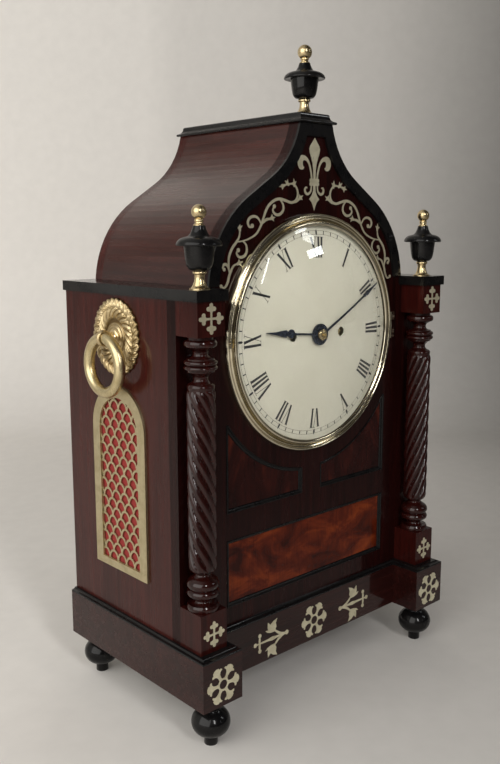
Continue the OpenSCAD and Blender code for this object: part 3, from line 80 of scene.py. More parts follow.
class Shader:
    """A material with one Principled shader, and short calls for its nodes."""

    def __init__(self, name, **values):
        self.mat = bpy.data.materials.new(name)
        self.mat.use_nodes = True
        self.tree = self.mat.node_tree
        self.tree.nodes.clear()
        self.out = self.add("ShaderNodeOutputMaterial")
        self.bsdf = self.add("ShaderNodeBsdfPrincipled", **values)
        self.link(self.bsdf.outputs[0], self.out.inputs["Surface"])

    def add(self, kind, **values):
        return add_node(self.tree, kind, **values)

    def link(self, output, socket):
        self.tree.links.new(output, socket)

    def coords(self):
        """Coordinates in the clock's own frame."""
        return self.add("ShaderNodeTexCoord").outputs["Object"]

    def place(self, scale=(1, 1, 1), turn=(0, 0, 0)):
        """Those coordinates, turned and stretched by scale."""
        mapping = self.add("ShaderNodeMapping", Vector=self.coords(), Scale=scale, Rotation=turn)
        return mapping.outputs["Vector"]

    def split(self, where):
        """The X, Y and Z outputs of coordinates."""
        return self.add("ShaderNodeSeparateXYZ", Vector=where).outputs

    def maths(self, operation, value, other=0.0):
        made = self.add("ShaderNodeMath", operation=operation)
        self.link(value, made.inputs[0])
        made.inputs[1].default_value = other
        return made.outputs[0]

    def noise(self, where, scale, detail=3.0, rough=0.5, bend=0.0):
        values = {"Scale": scale, "Detail": detail, "Roughness": rough, "Distortion": bend}
        return self.add("ShaderNodeTexNoise", Vector=where, **values).outputs["Fac"]

    def ramp(self, fac, *stops):
        return add_ramp(self.tree, fac, *stops).outputs["Color"]

    def mix(self, fac, a, b, how="MIX"):
        """Two colours put together. Each value is an output or a plain one."""
        made = self.add("ShaderNodeMix", data_type="RGBA", blend_type=how)
        for socket, value in ((0, fac), (6, a), (7, b)):
            if hasattr(value, "is_output"):
                self.link(value, made.inputs[socket])
            elif socket == 0:
                made.inputs[socket].default_value = value
            else:
                made.inputs[socket].default_value = (*value, 1)
        return made.outputs[2]

    def bump(self, height, strength, distance):
        made = self.add("ShaderNodeBump", Height=height, Strength=strength, Distance=distance)
        self.link(made.outputs["Normal"], self.bsdf.inputs["Normal"])

    def colour(self, output):
        self.link(output, self.bsdf.inputs["Base Color"])

    def rough(self, output):
        self.link(output, self.bsdf.inputs["Roughness"])

    def clear_where(self, fac, clear):
        """Puts a transparent shader in the Principled shader's place where fac is 1."""
        either = self.add("ShaderNodeMixShader")
        for output, socket in zip((fac, self.bsdf.outputs[0], clear.outputs[0]), either.inputs):
            self.link(output, socket)
        self.link(either.outputs[0], self.out.inputs["Surface"])


def stretched(along, amount):
    """A scale that draws a pattern out along one axis."""
    return tuple(amount if axis == along else 1.0 for axis in "XYZ")


def polished_wood(name, along, dark, light, pore, coat, gloss=0.07):
    """French polished mahogany: streaks and short pores along the grain under a clear coat."""
    s = Shader(name, Coat_Weight=coat, Coat_Roughness=gloss, Coat_IOR=1.5, Specular_IOR_Level=0.06)
    streaks = s.noise(s.place(stretched(along, 0.045)), 210, 5, 0.6, 0.25)
    stripes = s.noise(s.place(stretched(along, 0.16)), 34, 3, 0.55, 0.7)
    pores = s.noise(s.place(stretched(along, 0.07)), 1500, 2, 0.5)
    base = s.ramp(streaks, (0.3, dark), (0.72, light))
    shade = s.ramp(stripes, (0.35, 0.62), (0.65, 1.0))
    flecks = s.ramp(pores, (0.34, pore), (0.46, 1.0))
    s.colour(s.mix(1.0, s.mix(1.0, base, shade, "MULTIPLY"), flecks, "MULTIPLY"))
    s.rough(s.ramp(streaks, (0.3, 0.34), (0.7, 0.24)))
    s.bump(pores, 0.12, 0.0002)
    return s.mat


def flame_wood(name):
    """Crotch mahogany veneer, laid as a pair over a lower sheet: plumes above, red mottle below."""
    lean, lower_top = 0.85, 0.19
    s = Shader(name, Coat_Weight=0.22, Coat_Roughness=0.05, Coat_IOR=1.5, Specular_IOR_Level=0.06)
    x, y, z = s.split(s.coords())
    pair = s.add("ShaderNodeCombineXYZ", X=s.maths("ABSOLUTE", x), Y=y, Z=z).outputs[0]
    turn = s.add("ShaderNodeMapping", Vector=pair, Rotation=(0, lean, 0), Scale=(1, 1, 0.4))
    plumes = s.noise(turn.outputs["Vector"], 34, 5, 0.6, 0.8)
    upper = s.ramp(
        plumes, (0.3, (0.009, 0.002, 0.0018)), (0.5, (0.026, 0.0045, 0.0035)),
        (0.72, (0.1, 0.017, 0.008)),
    )
    mottle = s.noise(s.place((0.75, 1, 1.2)), 34, 4, 0.6, 0.7)
    lower = s.ramp(
        mottle, (0.34, (0.028, 0.0032, 0.0014)), (0.5, (0.098, 0.0125, 0.0032)),
        (0.68, (0.225, 0.038, 0.007)),
    )
    both = s.mix(s.maths("LESS_THAN", z, lower_top), upper, lower)
    fibres = s.noise(s.place((1, 1, 0.08)), 900, 3)
    flecks = s.ramp(fibres, (0.3, 0.7), (0.55, 1.0))
    s.colour(s.mix(1.0, both, flecks, "MULTIPLY"))
    s.rough(s.ramp(mottle, (0.3, 0.3), (0.7, 0.2)))
    return s.mat


def ebonised_wood(name, coat=0.6, gloss=0.07):
    """Black stained wood with a soft polish that is a little worn."""
    s = Shader(name, Coat_Weight=coat, Coat_Roughness=gloss, Specular_IOR_Level=0.06)
    wear = s.noise(s.place(), 55, 5, 0.65)
    grain = s.noise(s.place(), 700, 3, 0.6)
    s.colour(s.ramp(wear, (0.35, (0.003, 0.003, 0.0035)), (0.75, (0.009, 0.008, 0.0075))))
    s.rough(s.ramp(wear, (0.3, 0.22), (0.7, 0.36)))
    s.bump(grain, 0.03, 0.0001)
    return s.mat


def aged_brass(name, bright, dull, rough, cast=0.0, wear=0.35, depth=None, metal=1.0):
    """Brass with cloudy tarnish, fine rubbing marks and, where cast, a pitted skin.

    With depth, painted shade darkens the hollows that are nearer to the middle of the clock
    than that range.
    """
    s = Shader(name, Metallic=metal)
    clouds = s.noise(s.place(), 90, 5, 0.62, 0.4)
    marks = s.noise(s.place((1, 1, 0.12)), 1600, 2, 0.5)
    tone = s.ramp(clouds, (0.34, dull), (0.6, bright))
    if depth:
        # Painted shade: the cast relief is darker in its hollows, near the plate
        out = s.maths("ABSOLUTE", s.split(s.place())["X"])
        lift = s.add("ShaderNodeMapRange", Value=out, From_Min=depth[0], From_Max=depth[1])
        painted_shade = s.ramp(lift.outputs[0], (0.0, (0.3, 0.24, 0.16)), (1.0, (1, 1, 1)))
        tone = s.mix(1.0, tone, painted_shade, "MULTIPLY")
    s.colour(tone)
    tarnished = s.ramp(clouds, (0.3, rough[1]), (0.68, rough[0]))
    s.rough(s.mix(wear, tarnished, s.ramp(marks, (0.3, 0.15), (0.7, 0.5))))
    s.bump(s.noise(s.place(), 800, 3) if cast else marks, 0.1 + cast, 0.0002)
    return s.mat


def plain_finish(name, colour, rough, metal=1.0, coat=0.0):
    """An even surface with a slight mottle: steel, or gut where it isn't metallic."""
    s = Shader(name, Metallic=metal, Coat_Weight=coat, Coat_Roughness=0.06)
    marks = s.noise(s.place(), 400, 4, 0.6)
    s.colour(s.ramp(marks, (0.3, tuple(0.75 * c for c in colour)), (0.7, colour)))
    s.rough(s.ramp(marks, (0.3, rough * 1.3), (0.7, rough)))
    return s.mat


def painted_dial(name):
    """Cream paint on convex iron, slightly yellowed in clouds."""
    s = Shader(name, Coat_Weight=0.25, Coat_Roughness=0.2, Specular_IOR_Level=0.35)
    clouds = s.noise(s.place(), 16, 5, 0.6)
    fine = s.noise(s.place(), 240, 4, 0.6)
    tint = s.ramp(clouds, (0.3, (0.54, 0.5, 0.4)), (0.7, (0.6, 0.56, 0.46)))
    s.colour(s.mix(1.0, tint, s.ramp(fine, (0.25, 0.965), (0.6, 1.0)), "MULTIPLY"))
    s.rough(s.ramp(fine, (0.3, 0.5), (0.7, 0.42)))
    return s.mat


def ink(name):
    """Black paint, a little uneven."""
    s = Shader(name, Specular_IOR_Level=0.3)
    blot = s.noise(s.place(), 500, 3)
    s.colour(s.ramp(blot, (0.3, (0.008, 0.008, 0.01)), (0.75, (0.03, 0.028, 0.03))))
    s.rough(s.ramp(blot, (0.3, 0.5), (0.7, 0.4)))
    return s.mat


def woven_silk(name, colour):
    """Plain woven silk: threads across and along, with a slight slub."""
    s = Shader(name, Sheen_Weight=0.12, Sheen_Roughness=0.4, Roughness=0.65, Specular_IOR_Level=0.2)
    threads = {"Vector": s.place(), "Distortion": 0.5, "Detail": 1.0}
    across = s.add("ShaderNodeTexWave", Scale=260.0, bands_direction="Y", **threads)
    along = s.add("ShaderNodeTexWave", Scale=300.0, bands_direction="Z", **threads)
    weave = s.mix(0.5, across.outputs["Color"], along.outputs["Color"])
    slub = s.noise(s.place((1, 1, 0.1)), 160, 4)
    deep = tuple(0.45 * c for c in colour)
    shade = s.ramp(weave, (0.1, deep), (0.8, colour))
    s.colour(s.mix(s.ramp(slub, (0.3, 0.25), (0.7, 0.6)), shade, colour))
    s.bump(weave, 0.35, 0.0002)
    return s.mat


def clear_glass(name):
    """Clear glass that lets light through to what lies behind it."""
    s = Shader(name, Base_Color=(0.97, 0.985, 0.98, 1), Transmission_Weight=1.0, IOR=1.45)
    smear = s.noise(s.place(), 30, 3)
    s.rough(s.ramp(smear, (0.45, 0.0), (0.9, 0.03)))
    shadow = s.add("ShaderNodeLightPath").outputs["Is Shadow Ray"]
    s.clear_where(shadow, s.add("ShaderNodeBsdfTransparent", Color=(0.94, 0.96, 0.95, 1)))
    return s.mat


SIDE_WOOD = polished_wood(
    "side_mahogany", "Z", (0.032, 0.0056, 0.0043), (0.063, 0.0112, 0.0083), pore=0.75, coat=0.4
)
BLOCK_WOOD = polished_wood(
    "block_mahogany", "Z", (0.022, 0.0032, 0.0025), (0.055, 0.0078, 0.0055), pore=0.72, coat=0.34
)
FRONT_WOOD = polished_wood(
    "front_mahogany", "Z", (0.0095, 0.0017, 0.0015), (0.025, 0.0041, 0.0034), pore=0.7, coat=0.24
)
RAIL_WOOD = polished_wood(
    "rail_mahogany", "X", (0.015, 0.003, 0.0025), (0.036, 0.0075, 0.0058), pore=0.7, coat=0.55
)
ROOF_WOOD = polished_wood(
    "roof_mahogany", "Y", (0.028, 0.006, 0.0044), (0.066, 0.0145, 0.01),
    pore=0.7, coat=0.66, gloss=0.14,
)
TURNED_WOOD = polished_wood(
    "turned_mahogany", "Z", (0.014, 0.0021, 0.0016), (0.037, 0.0058, 0.0042),
    pore=0.75, coat=0.66, gloss=0.05,
)
FLAME_WOOD = flame_wood("flame_mahogany")
EBONY = ebonised_wood("ebonised_wood")
TURNED_EBONY = ebonised_wood("turned_ebonised_wood", coat=0.36, gloss=0.04)
TRIM_EBONY = ebonised_wood("trim_ebonised_wood", coat=0.28, gloss=0.1)
BRASS = aged_brass(
    "polished_brass", (0.63, 0.51, 0.3), (0.49, 0.38, 0.205), (0.17, 0.28), wear=0.28
)
BEZEL_BRASS = aged_brass(
    "bezel_brass", (0.7, 0.64, 0.49), (0.6, 0.53, 0.38), (0.08, 0.13), wear=0.12
)
# Cast brass with painted shade in the hollows of its relief
CAST_BRASS = aged_brass(
    "cast_brass", (0.68, 0.555, 0.335), (0.46, 0.35, 0.185), (0.26, 0.4),
    cast=0.05, depth=(0.1696, 0.1728),
)
RING_BRASS = aged_brass(
    "ring_brass", (0.63, 0.53, 0.315), (0.5, 0.41, 0.225), (0.24, 0.36), wear=0.3
)
FRET_BRASS = aged_brass("fret_brass", (0.56, 0.485, 0.305), (0.45, 0.38, 0.225), (0.36, 0.52))
INLAY_BRASS = aged_brass(
    "inlaid_brass", (0.76, 0.71, 0.52), (0.58, 0.53, 0.37), (0.3, 0.46), metal=0.65
)
WORKS_BRASS = aged_brass("movement_brass", (0.74, 0.58, 0.29), (0.55, 0.41, 0.19), (0.24, 0.36))
BELL_METAL = aged_brass("bell_metal", (0.72, 0.62, 0.42), (0.5, 0.41, 0.25), (0.15, 0.28))
STEEL = plain_finish("grey_steel", (0.5, 0.51, 0.52), 0.32)
BLUED = plain_finish("blued_steel", (0.03, 0.038, 0.06), 0.24, metal=0.6, coat=0.4)
DIAL_PAINT = painted_dial("dial_paint")
INK = ink("dial_ink")
SILK = woven_silk("red_silk", (0.3, 0.03, 0.028))
GLASS = clear_glass("clear_glass")
GUT = plain_finish("gut", (0.4, 0.28, 0.13), 0.6, metal=0.0)

NODE_LOOKS = {
    SIDE_WOOD: ["case_sides", "back_frame", "back_door"],
    FRONT_WOOD: ["case_front"],
    BLOCK_WOOD: ["column_blocks"],
    RAIL_WOOD: ["plinth", "base_board", "seat_board"],
    ROOF_WOOD: ["roof_shell"],
    TURNED_WOOD: ["column_left", "column_right"],
    FLAME_WOOD: ["front_panels"],
    EBONY: [
        "bun_feet", "seat_moulding", "panel_mouldings", "cornice", "arch_border", "top_cap",
        "finial_urns",
    ],
    BEZEL_BRASS: ["bezel", "bezel_catch", "bezel_hinge"],
    BRASS: ["finial_brasses", "hand_collet", "back_door_hinges", "back_door_lock"],
    CAST_BRASS: ["handle_rosettes"],
    RING_BRASS: ["ring_handle_left", "ring_handle_right"],
    FRET_BRASS: ["side_frets"],
    INLAY_BRASS: ["front_inlays", "arch_inlays"],
    WORKS_BRASS: [
        "dial_feet", "front_plate", "back_plate", "pillars", "going_barrel", "strike_barrel",
        "going_fusee", "strike_fusee", "centre_wheel", "cannon_pinion", "minute_wheel",
        "hour_wheel", "third_wheel", "escape_wheel", "back_cock", "pin_wheel", "pendulum",
    ],
    BELL_METAL: ["bell"],
    STEEL: ["pallets", "bell_hammer", "fly"],
    BLUED: ["hour_hand", "minute_hand"],
    DIAL_PAINT: ["dial_plate"],
    SILK: ["fret_silks"],
    GLASS: ["bezel_glass", "back_door_glass"],
    GUT: ["gut_lines"],
}


def smooth_by_angle(obj, angle=30):
    mesh = obj.data
    mesh.polygons.foreach_set("use_smooth", [True] * len(mesh.polygons))
    mesh.set_sharp_from_angle(angle=math.radians(angle))


for look, names in NODE_LOOKS.items():
    for name in names:
        nodes[name].data.materials.clear()
        nodes[name].data.materials.append(look)
        smooth_by_angle(nodes[name])


# Shapes. Outlines and places in this part are in millimetres, and CAD boxes in metres.


def spot(node):
    """Lowest corner, highest corner and centre of a CAD node."""
    low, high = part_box(node)
    return low, high, (low + high) / 2


# The front board's face and foot, and the height of the dial's centre
FRONT = spot("case_front")[0].y / MM
BASE = spot("case_front")[0].z / MM
DIAL = spot("dial_plate")[2].z / MM

# Ways that an axis can point: two directions across it, and the one along it
WAYS = {
    "up": (Vector((1, 0, 0)), Vector((0, 1, 0)), Vector((0, 0, 1))),
    "front": (Vector((1, 0, 0)), Vector((0, 0, 1)), Vector((0, -1, 0))),
    "left": (Vector((0, 1, 0)), Vector((0, 0, 1)), Vector((-1, 0, 0))),
    "right": (Vector((0, 1, 0)), Vector((0, 0, 1)), Vector((1, 0, 0))),
    "back": (Vector((1, 0, 0)), Vector((0, 0, 1)), Vector((0, 1, 0))),
}


def make(name, verts, faces, look, body, stands_for=(), sharp=35):
    """A piece that rides on a body, and replaces the nodes that it stands for."""
    mesh = bpy.data.meshes.new(name)
    mesh.from_pydata([Vector(v) * MM for v in verts], [], faces)
    form = bmesh.new()
    form.from_mesh(mesh)
    bmesh.ops.remove_doubles(form, verts=form.verts, dist=1e-6)
    bmesh.ops.recalc_face_normals(form, faces=form.faces)
    form.to_mesh(mesh)
    form.free()
    mesh.materials.append(look)
    obj = bpy.data.objects.new(name, mesh)
    bpy.context.scene.collection.objects.link(obj)
    smooth_by_angle(obj, sharp)
    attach(obj, body)
    if stands_for:
        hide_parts(*stands_for)
    return obj


def skinned(name, rows, look, body, stands_for=(), sharp=35, ring=True, ends=False):
    """A piece with faces between rows of equally many points, and across both ends if asked."""
    n = len(rows[0])
    faces = []
    for i in range(len(rows) - 1):
        for k in range(n if ring else n - 1):
            a, b = i * n + k, i * n + (k + 1) % n
            faces.append((a, b, b + n, a + n))
    if ends:
        last = (len(rows) - 1) * n
        faces += [tuple(range(n)), tuple(range(last, last + n))]
    return make(name, [p for row in rows for p in row], faces, look, body, stands_for, sharp)


def eased(points, n=5):
    """A smooth line through the points. A point with a third value is a corner."""
    line, start = [tuple(points[0][:2])], 0
    for end in range(1, len(points)):
        if end < len(points) - 1 and len(points[end]) < 3:
            continue
        run = [Vector(p[:2]) for p in points[start : end + 1]]
        gaps = [(b - a).length for a, b in zip(run, run[1:])]
        ways = [(b - a) / g for a, b, g in zip(run, run[1:], gaps)]
        joints = zip(ways, ways[1:], gaps, gaps[1:])
        inner = [(w0 * g1 + w1 * g0) / (g0 + g1) for w0, w1, g0, g1 in joints]
        ends = [ways[0], *inner, ways[-1]]
        steps = 1 if len(run) == 2 else n
        for i, g in enumerate(gaps):
            for k in range(1, steps + 1):
                u = k / steps
                p = (2 * u**3 - 3 * u**2 + 1) * run[i] + (u**3 - 2 * u**2 + u) * g * ends[i]
                p += (3 * u**2 - 2 * u**3) * run[i + 1] + (u**3 - u**2) * g * ends[i + 1]
                line.append((p.x, p.y))
        start = end
    return line


def spokes(way, steps):
    """Angles round an axis, each with its direction."""
    u, v, _ = WAYS[way]
    angles = [2 * math.pi * k / steps for k in range(steps)]
    return [(a, u * math.cos(a) + v * math.sin(a)) for a in angles]


def turned(name, line, at, look, body, stands_for=(), way="up", steps=72, sharp=35):
    """A piece turned on a lathe, from (radius, distance along the axis) pairs."""
    along, around = WAYS[way][2], spokes(way, steps)
    rows = [[at + along * t + r * spoke for _, spoke in around] for r, t in line]
    return skinned(name, rows, look, body, stands_for, sharp)


def moulding(name, outline, line, look, node, ends=False):
    """A moulding along outline(k, t), which is drawn in by k at height t, for each pair in line."""
    rows = [outline(k, t) for k, t in line]
    skinned(name, rows, look, "case", [node], ends=ends)


# Turned lines, as (radius, distance along the axis) pairs

FOOT_LINE = eased([
    (0, 0, 1), (6.1, 0, 1), (6.3, 0.3, 1), (6.3, 8.3, 1), (8.5, 9.3), (13.5, 12), (16.9, 16.5),
    (18, 21), (17.2, 26), (14.5, 30.5), (11, 33.8, 1), (9.8, 35.5), (10.6, 37.5, 1), (11, 39, 1),
    (11, 44, 1), (0, 44),
])
FOOT_R = 18
URN_TALL = 37
URN_LINE = eased([
    (0, 0, 1), (6.2, 0), (8.6, 0.9), (10.7, 3.6), (11.8, 8), (12.6, 14), (13.3, 20.9, 1),
    (17.5, 20.4), (19.2, 20.5), (19.6, 21.3), (19.3, 22.6), (18, 24.8), (15.6, 26.6),
    (12.6, 27.7, 1), (9.6, 28.3, 1), (8.3, 29.6), (6.4, 33), (5.4, 36.2), (5.2, 37, 1), (0, 37),
])
STEM_TALL = 15.5
STEM_LINE = eased([
    (0, 0, 1), (9, 0, 1), (9, 0.8, 1), (7.2, 1.7), (5.4, 5), (4.4, 9.5), (4.5, 12, 1),
    (5.8, 12.8), (5.8, 14.3), (5, 15.5, 1), (0, 15.5),
])
# The neck under a finial's ball, drawn for a ball whose centre is at NECK_TALL
NECK_TALL = 11.1
NECK_LINE = eased([
    (0, 0, 1), (4.8, 0, 1), (4.8, 0.7), (3.7, 1.6), (3.3, 2.8, 1), (3.9, 3.4), (3.9, 4.7),
    (3.3, 5.5, 1), (3.2, 6.2, 1),
])
COLUMN_FOOT = eased([
    (0, 0, 1), (14.3, 0, 1), (14.6, 0.4, 1), (14.6, 3.3), (13.6, 5.3, 1), (9.4, 5.9), (7.8, 7.8),
    (8.3, 9.8), (11, 11.4, 1), (13.8, 12.9), (14.6, 15.3), (13.8, 17.6), (12.1, 19, 1),
    (13.8, 20.6), (14.6, 23), (13.9, 26), (11.5, 28.5), (8.5, 30.5), (7.2, 32.3), (8, 34.2),
    (10.8, 35.5, 1), (11.6, 36.8),
])
COLUMN_HEAD = eased([
    (0, 0, 1), (11, 0, 1), (11, 3, 1), (13.4, 3.8), (14.3, 6), (13.8, 8.6), (11, 10.2), (7.8, 12),
    (6.5, 14.3), (6.9, 16.8), (9, 18.6, 1), (12, 19.2, 1), (12, 20.3, 1), (14.1, 21.3),
    (14.6, 22.6), (14.1, 23.9), (12.6, 24.9, 1), (14.1, 25.9), (14.6, 27.2), (14, 28.5),
    (12.2, 29.5, 1), (12, 30.6, 1), (8.4, 32.8), (6.5, 35.4), (6.5, 37.6), (8, 39.8),
    (11, 41.3, 1), (12, 43), (11.6, 46.5),
])
BEZEL_LINE = eased([
    (108.5, 0, 1), (116, 0, 1), (116, 2.4), (115.3, 4.9), (113.9, 5.9), (112.7, 5.1),
    (112.3, 3.3, 1), (111.3, 2.9), (110.1, 3.5), (109, 5), (108.3, 6.8, 1), (107.7, 7.7),
    (106.6, 8), (105.5, 7.7), (104.7, 7, 1), (104.5, 6.6, 1), (107.7, 5.55, 1), (107.7, 1.8, 1),
    (108.5, 0),
], 6)


def resized(line, tall, drawn):
    """A turned line that was drawn for one height, at another."""
    return [(r, t * tall / drawn) for r, t in line]


def finial(name, at, stem, urn, knob, ball):
    """A brass stem, an urn and a brass knob of these heights, with a ball of this radius."""
    brasses = ["finial_brasses"]
    line = resized(STEM_LINE, stem, STEM_TALL)
    turned(name + "_stem", line, at, BRASS, "case", brasses)
    at = at + Vector((0, 0, stem))
    line = resized(URN_LINE, urn, URN_TALL)
    turned(name + "_urn", line, at, TURNED_EBONY, "case", ["finial_urns"], steps=96)
    at = at + Vector((0, 0, urn))
    line = resized(NECK_LINE, knob - ball, NECK_TALL)
    start, steps = -math.acos(line[-1][0] / ball), 24
    for i in range(steps + 1):
        a = start + (math.pi / 2 - start) * i / steps
        line.append((ball * math.cos(a), knob - ball + ball * math.sin(a)))
    turned(name + "_knob", line, at, BRASS, "case", brasses)


def finials():
    _, _, mid = spot("column_left")
    side_top = spot("cornice")[1].z / MM
    for side, name in ((-1, "left_finial"), (1, "right_finial")):
        at = Vector((side * abs(mid.x), mid.y, 0)) / MM + Vector((0, 0, side_top))
        finial(name, at, 15.5, 37, 17.5, 6.4)
    at = Vector((0, FRONT + 14, spot("top_cap")[1].z / MM))
    finial("top_finial", at, 14.3, 32.4, 16.8, 6.9)


def feet():
    low, high, _ = spot("bun_feet")
    for x, side in ((low.x / MM + FOOT_R, "left"), (high.x / MM - FOOT_R, "right")):
        for y, end in ((low.y / MM + FOOT_R, "front"), (high.y / MM - FOOT_R, "rear")):
            name, at = f"{side}_{end}_foot", Vector((x, y, 0))
            turned(name, FOOT_LINE, at, TURNED_EBONY, "case", ["bun_feet"])


def column(node, hand):
    """A column with eight round strands, twisted to the left (-1) or to the right (1)."""
    low, high, mid = spot(node)
    at, length = Vector((mid.x, mid.y, low.z)) / MM, (high.z - low.z) / MM
    around, along, strands, lead = 160, 170, 8, 126
    core, swelling, groove, width = 11.6, 1.25, 3.1, 0.95
    start, stop = COLUMN_FOOT[-1][1], length - COLUMN_HEAD[-1][1]
    rows = []

    def ring(t, radius):
        row = []
        for k in range(around):
            a = 2 * math.pi * k / around
            r = radius(a, t)
            row.append(at + Vector((r * math.cos(a), r * math.sin(a), t)))
        rows.append(row)

    def rope(a, t):
        """The rope's radius. Its grooves run out near both ends."""
        near = min(t - start, stop - t)
        fade = min(1, near / 5) ** 0.6
        body = core + swelling * min(1, near / 4) ** 0.5
        turn = (a - hand * 2 * math.pi * t / lead) * strands / (2 * math.pi)
        u = width * (2 * (turn % 1) - 1)
        return body - groove * fade * (1 - math.sqrt(1 - u * u)) / (1 - math.sqrt(1 - width**2))

    for r, t in COLUMN_FOOT[:-1]:
        ring(t, lambda a, t, r=r: r)
    for i in range(along + 1):
        ring(start + (stop - start) * i / along, rope)
    for r, t in reversed(COLUMN_HEAD[:-1]):
        ring(length - t, lambda a, t, r=r: r)
    skinned("rope_" + node, rows, TURNED_WOOD, "case", [node], 42)


def bezel():
    """The ring with its hinge's moving knuckle and tongue, and the domed glass."""
    at = Vector((0, FRONT, DIAL))
    turned("bezel_ring", BEZEL_LINE, at, BEZEL_BRASS, "bezel", ["bezel"], "front", 240, 32)
    pin = at + Vector((118.2, -2, -4.5))
    line = eased([
        (0.95, 0, 1), (1.7, 0, 1), (1.9, 0.2, 1), (1.9, 8.8, 1), (1.7, 9, 1), (0.95, 9, 1),
        (0.95, 0),
    ])
    turned("bezel_knuckle", line, pin, BEZEL_BRASS, "bezel", ["bezel"], "up", 32)
    corners = ((115.2, -4.5), (117.2, -4.5), (117.2, 4.5), (115.2, 4.5))
    rows = [[at + Vector((x, y, z)) for x, z in corners] for y in (-2.2, -0.6)]
    skinned("bezel_tongue", rows, BEZEL_BRASS, "bezel", ["bezel"], ends=True)
    radius, thick, top, edge, steps = 348.4, 1.5, 22.5, 107.5, 24
    line = []
    for face, order in ((radius, range(steps + 1)), (radius - thick, range(steps, -1, -1))):
        for i in order:
            r = edge * i / steps
            line.append((r, top - radius + math.sqrt(face**2 - r**2)))
    turned("domed_glass", line, at, GLASS, "bezel", ["bezel_glass"], "front", 160, 60)


def upper_outline(side):
    """The edge of an upper panel: straight beside the column, and hollow under the bezel."""

    def outline(k, d):
        x0, x1, z0 = 13 + k, 113 - k, -159.5 + k
        reach, steps = 133.5 + k, 28
        top = min(-75 - k, -math.sqrt(reach**2 - x1**2))
        corner = min(x1, math.sqrt(reach**2 - top**2))
        points = [(x0, z0), (x1, z0), (x1, top)]
        a0, a1 = math.acos(corner / reach), math.acos(x0 / reach)
        for i in range(steps + 1):
            a = a0 + (a1 - a0) * i / steps
            points.append((reach * math.cos(a), -reach * math.sin(a)))
        return [Vector((side * x, FRONT + d, DIAL + z)) for x, z in points]

    return outline


def lower_outline(k, d):
    x, z0, z1 = 113 - k, BASE + 21.5 + k, DIAL - 185.5 - k
    return [Vector((a, FRONT + d, z)) for a, z in ((-x, z0), (x, z0), (x, z1), (-x, z1))]


def panel_frames():
    line = eased([
        (0, 0.05, 1), (0, -0.35), (0.55, -0.8), (1.2, -0.6), (1.55, 0, 1), (1.75, 0.3, 1),
        (2.2, 0.38), (3.1, 0.8), (3.75, 1.6), (3.9, 2.02, 1), (4.3, 2.02),
    ], 4)
    moulding("left_panel_moulding", upper_outline(-1), line, TRIM_EBONY, "panel_mouldings")
    moulding("right_panel_moulding", upper_outline(1), line, TRIM_EBONY, "panel_mouldings")
    moulding("lower_panel_moulding", lower_outline, line, TRIM_EBONY, "panel_mouldings")


def seat():
    """The bead that seats the case on the plinth. It steps back between the two end blocks."""
    low, high, _ = spot("plinth")
    x, y0, y1, z = high.x / MM, low.y / MM, high.y / MM, high.z / MM
    block, step = 45.5, 33

    def plan(k, t):
        s, h, mid = x - block + k, x - k, y0 + step + k
        points = [
            (-h, y0 + k), (-s, y0 + k), (-s, mid), (s, mid), (s, y0 + k), (h, y0 + k), (h, y1),
            (-h, y1),
        ]
        return [Vector((a, b, z + t)) for a, b in points]

    line = eased([
        (0.3, 0, 1), (0, 0.3), (0, 1.1), (0.5, 1.6, 1), (1.3, 1.7), (2.8, 2.1), (3.7, 2.9, 1),
        (4.1, 3.4, 1), (10.3, 3.5),
    ], 4)
    moulding("seat_bead", plan, line, EBONY, "seat_moulding")


def cap():
    low, high, _ = spot("top_cap")
    a, b = low / MM, high / MM

    def plan(k, t):
        points = [
            (a.x + k, a.y + k), (b.x - k, a.y + k), (b.x - k, b.y - k), (a.x + k, b.y - k)
        ]
        return [Vector((x, y, a.z + t)) for x, y in points]

    line = eased([
        (0.5, 0, 1), (0, 0.5), (0.1, 1.9), (0.6, 2.4, 1), (2.6, 3.1), (4.2, 4.7), (5, 6.9, 1),
        (5.3, 8.6), (6.1, 9.4, 1),
    ], 5)
    moulding("moulded_cap", plan, line, EBONY, "top_cap", ends=True)


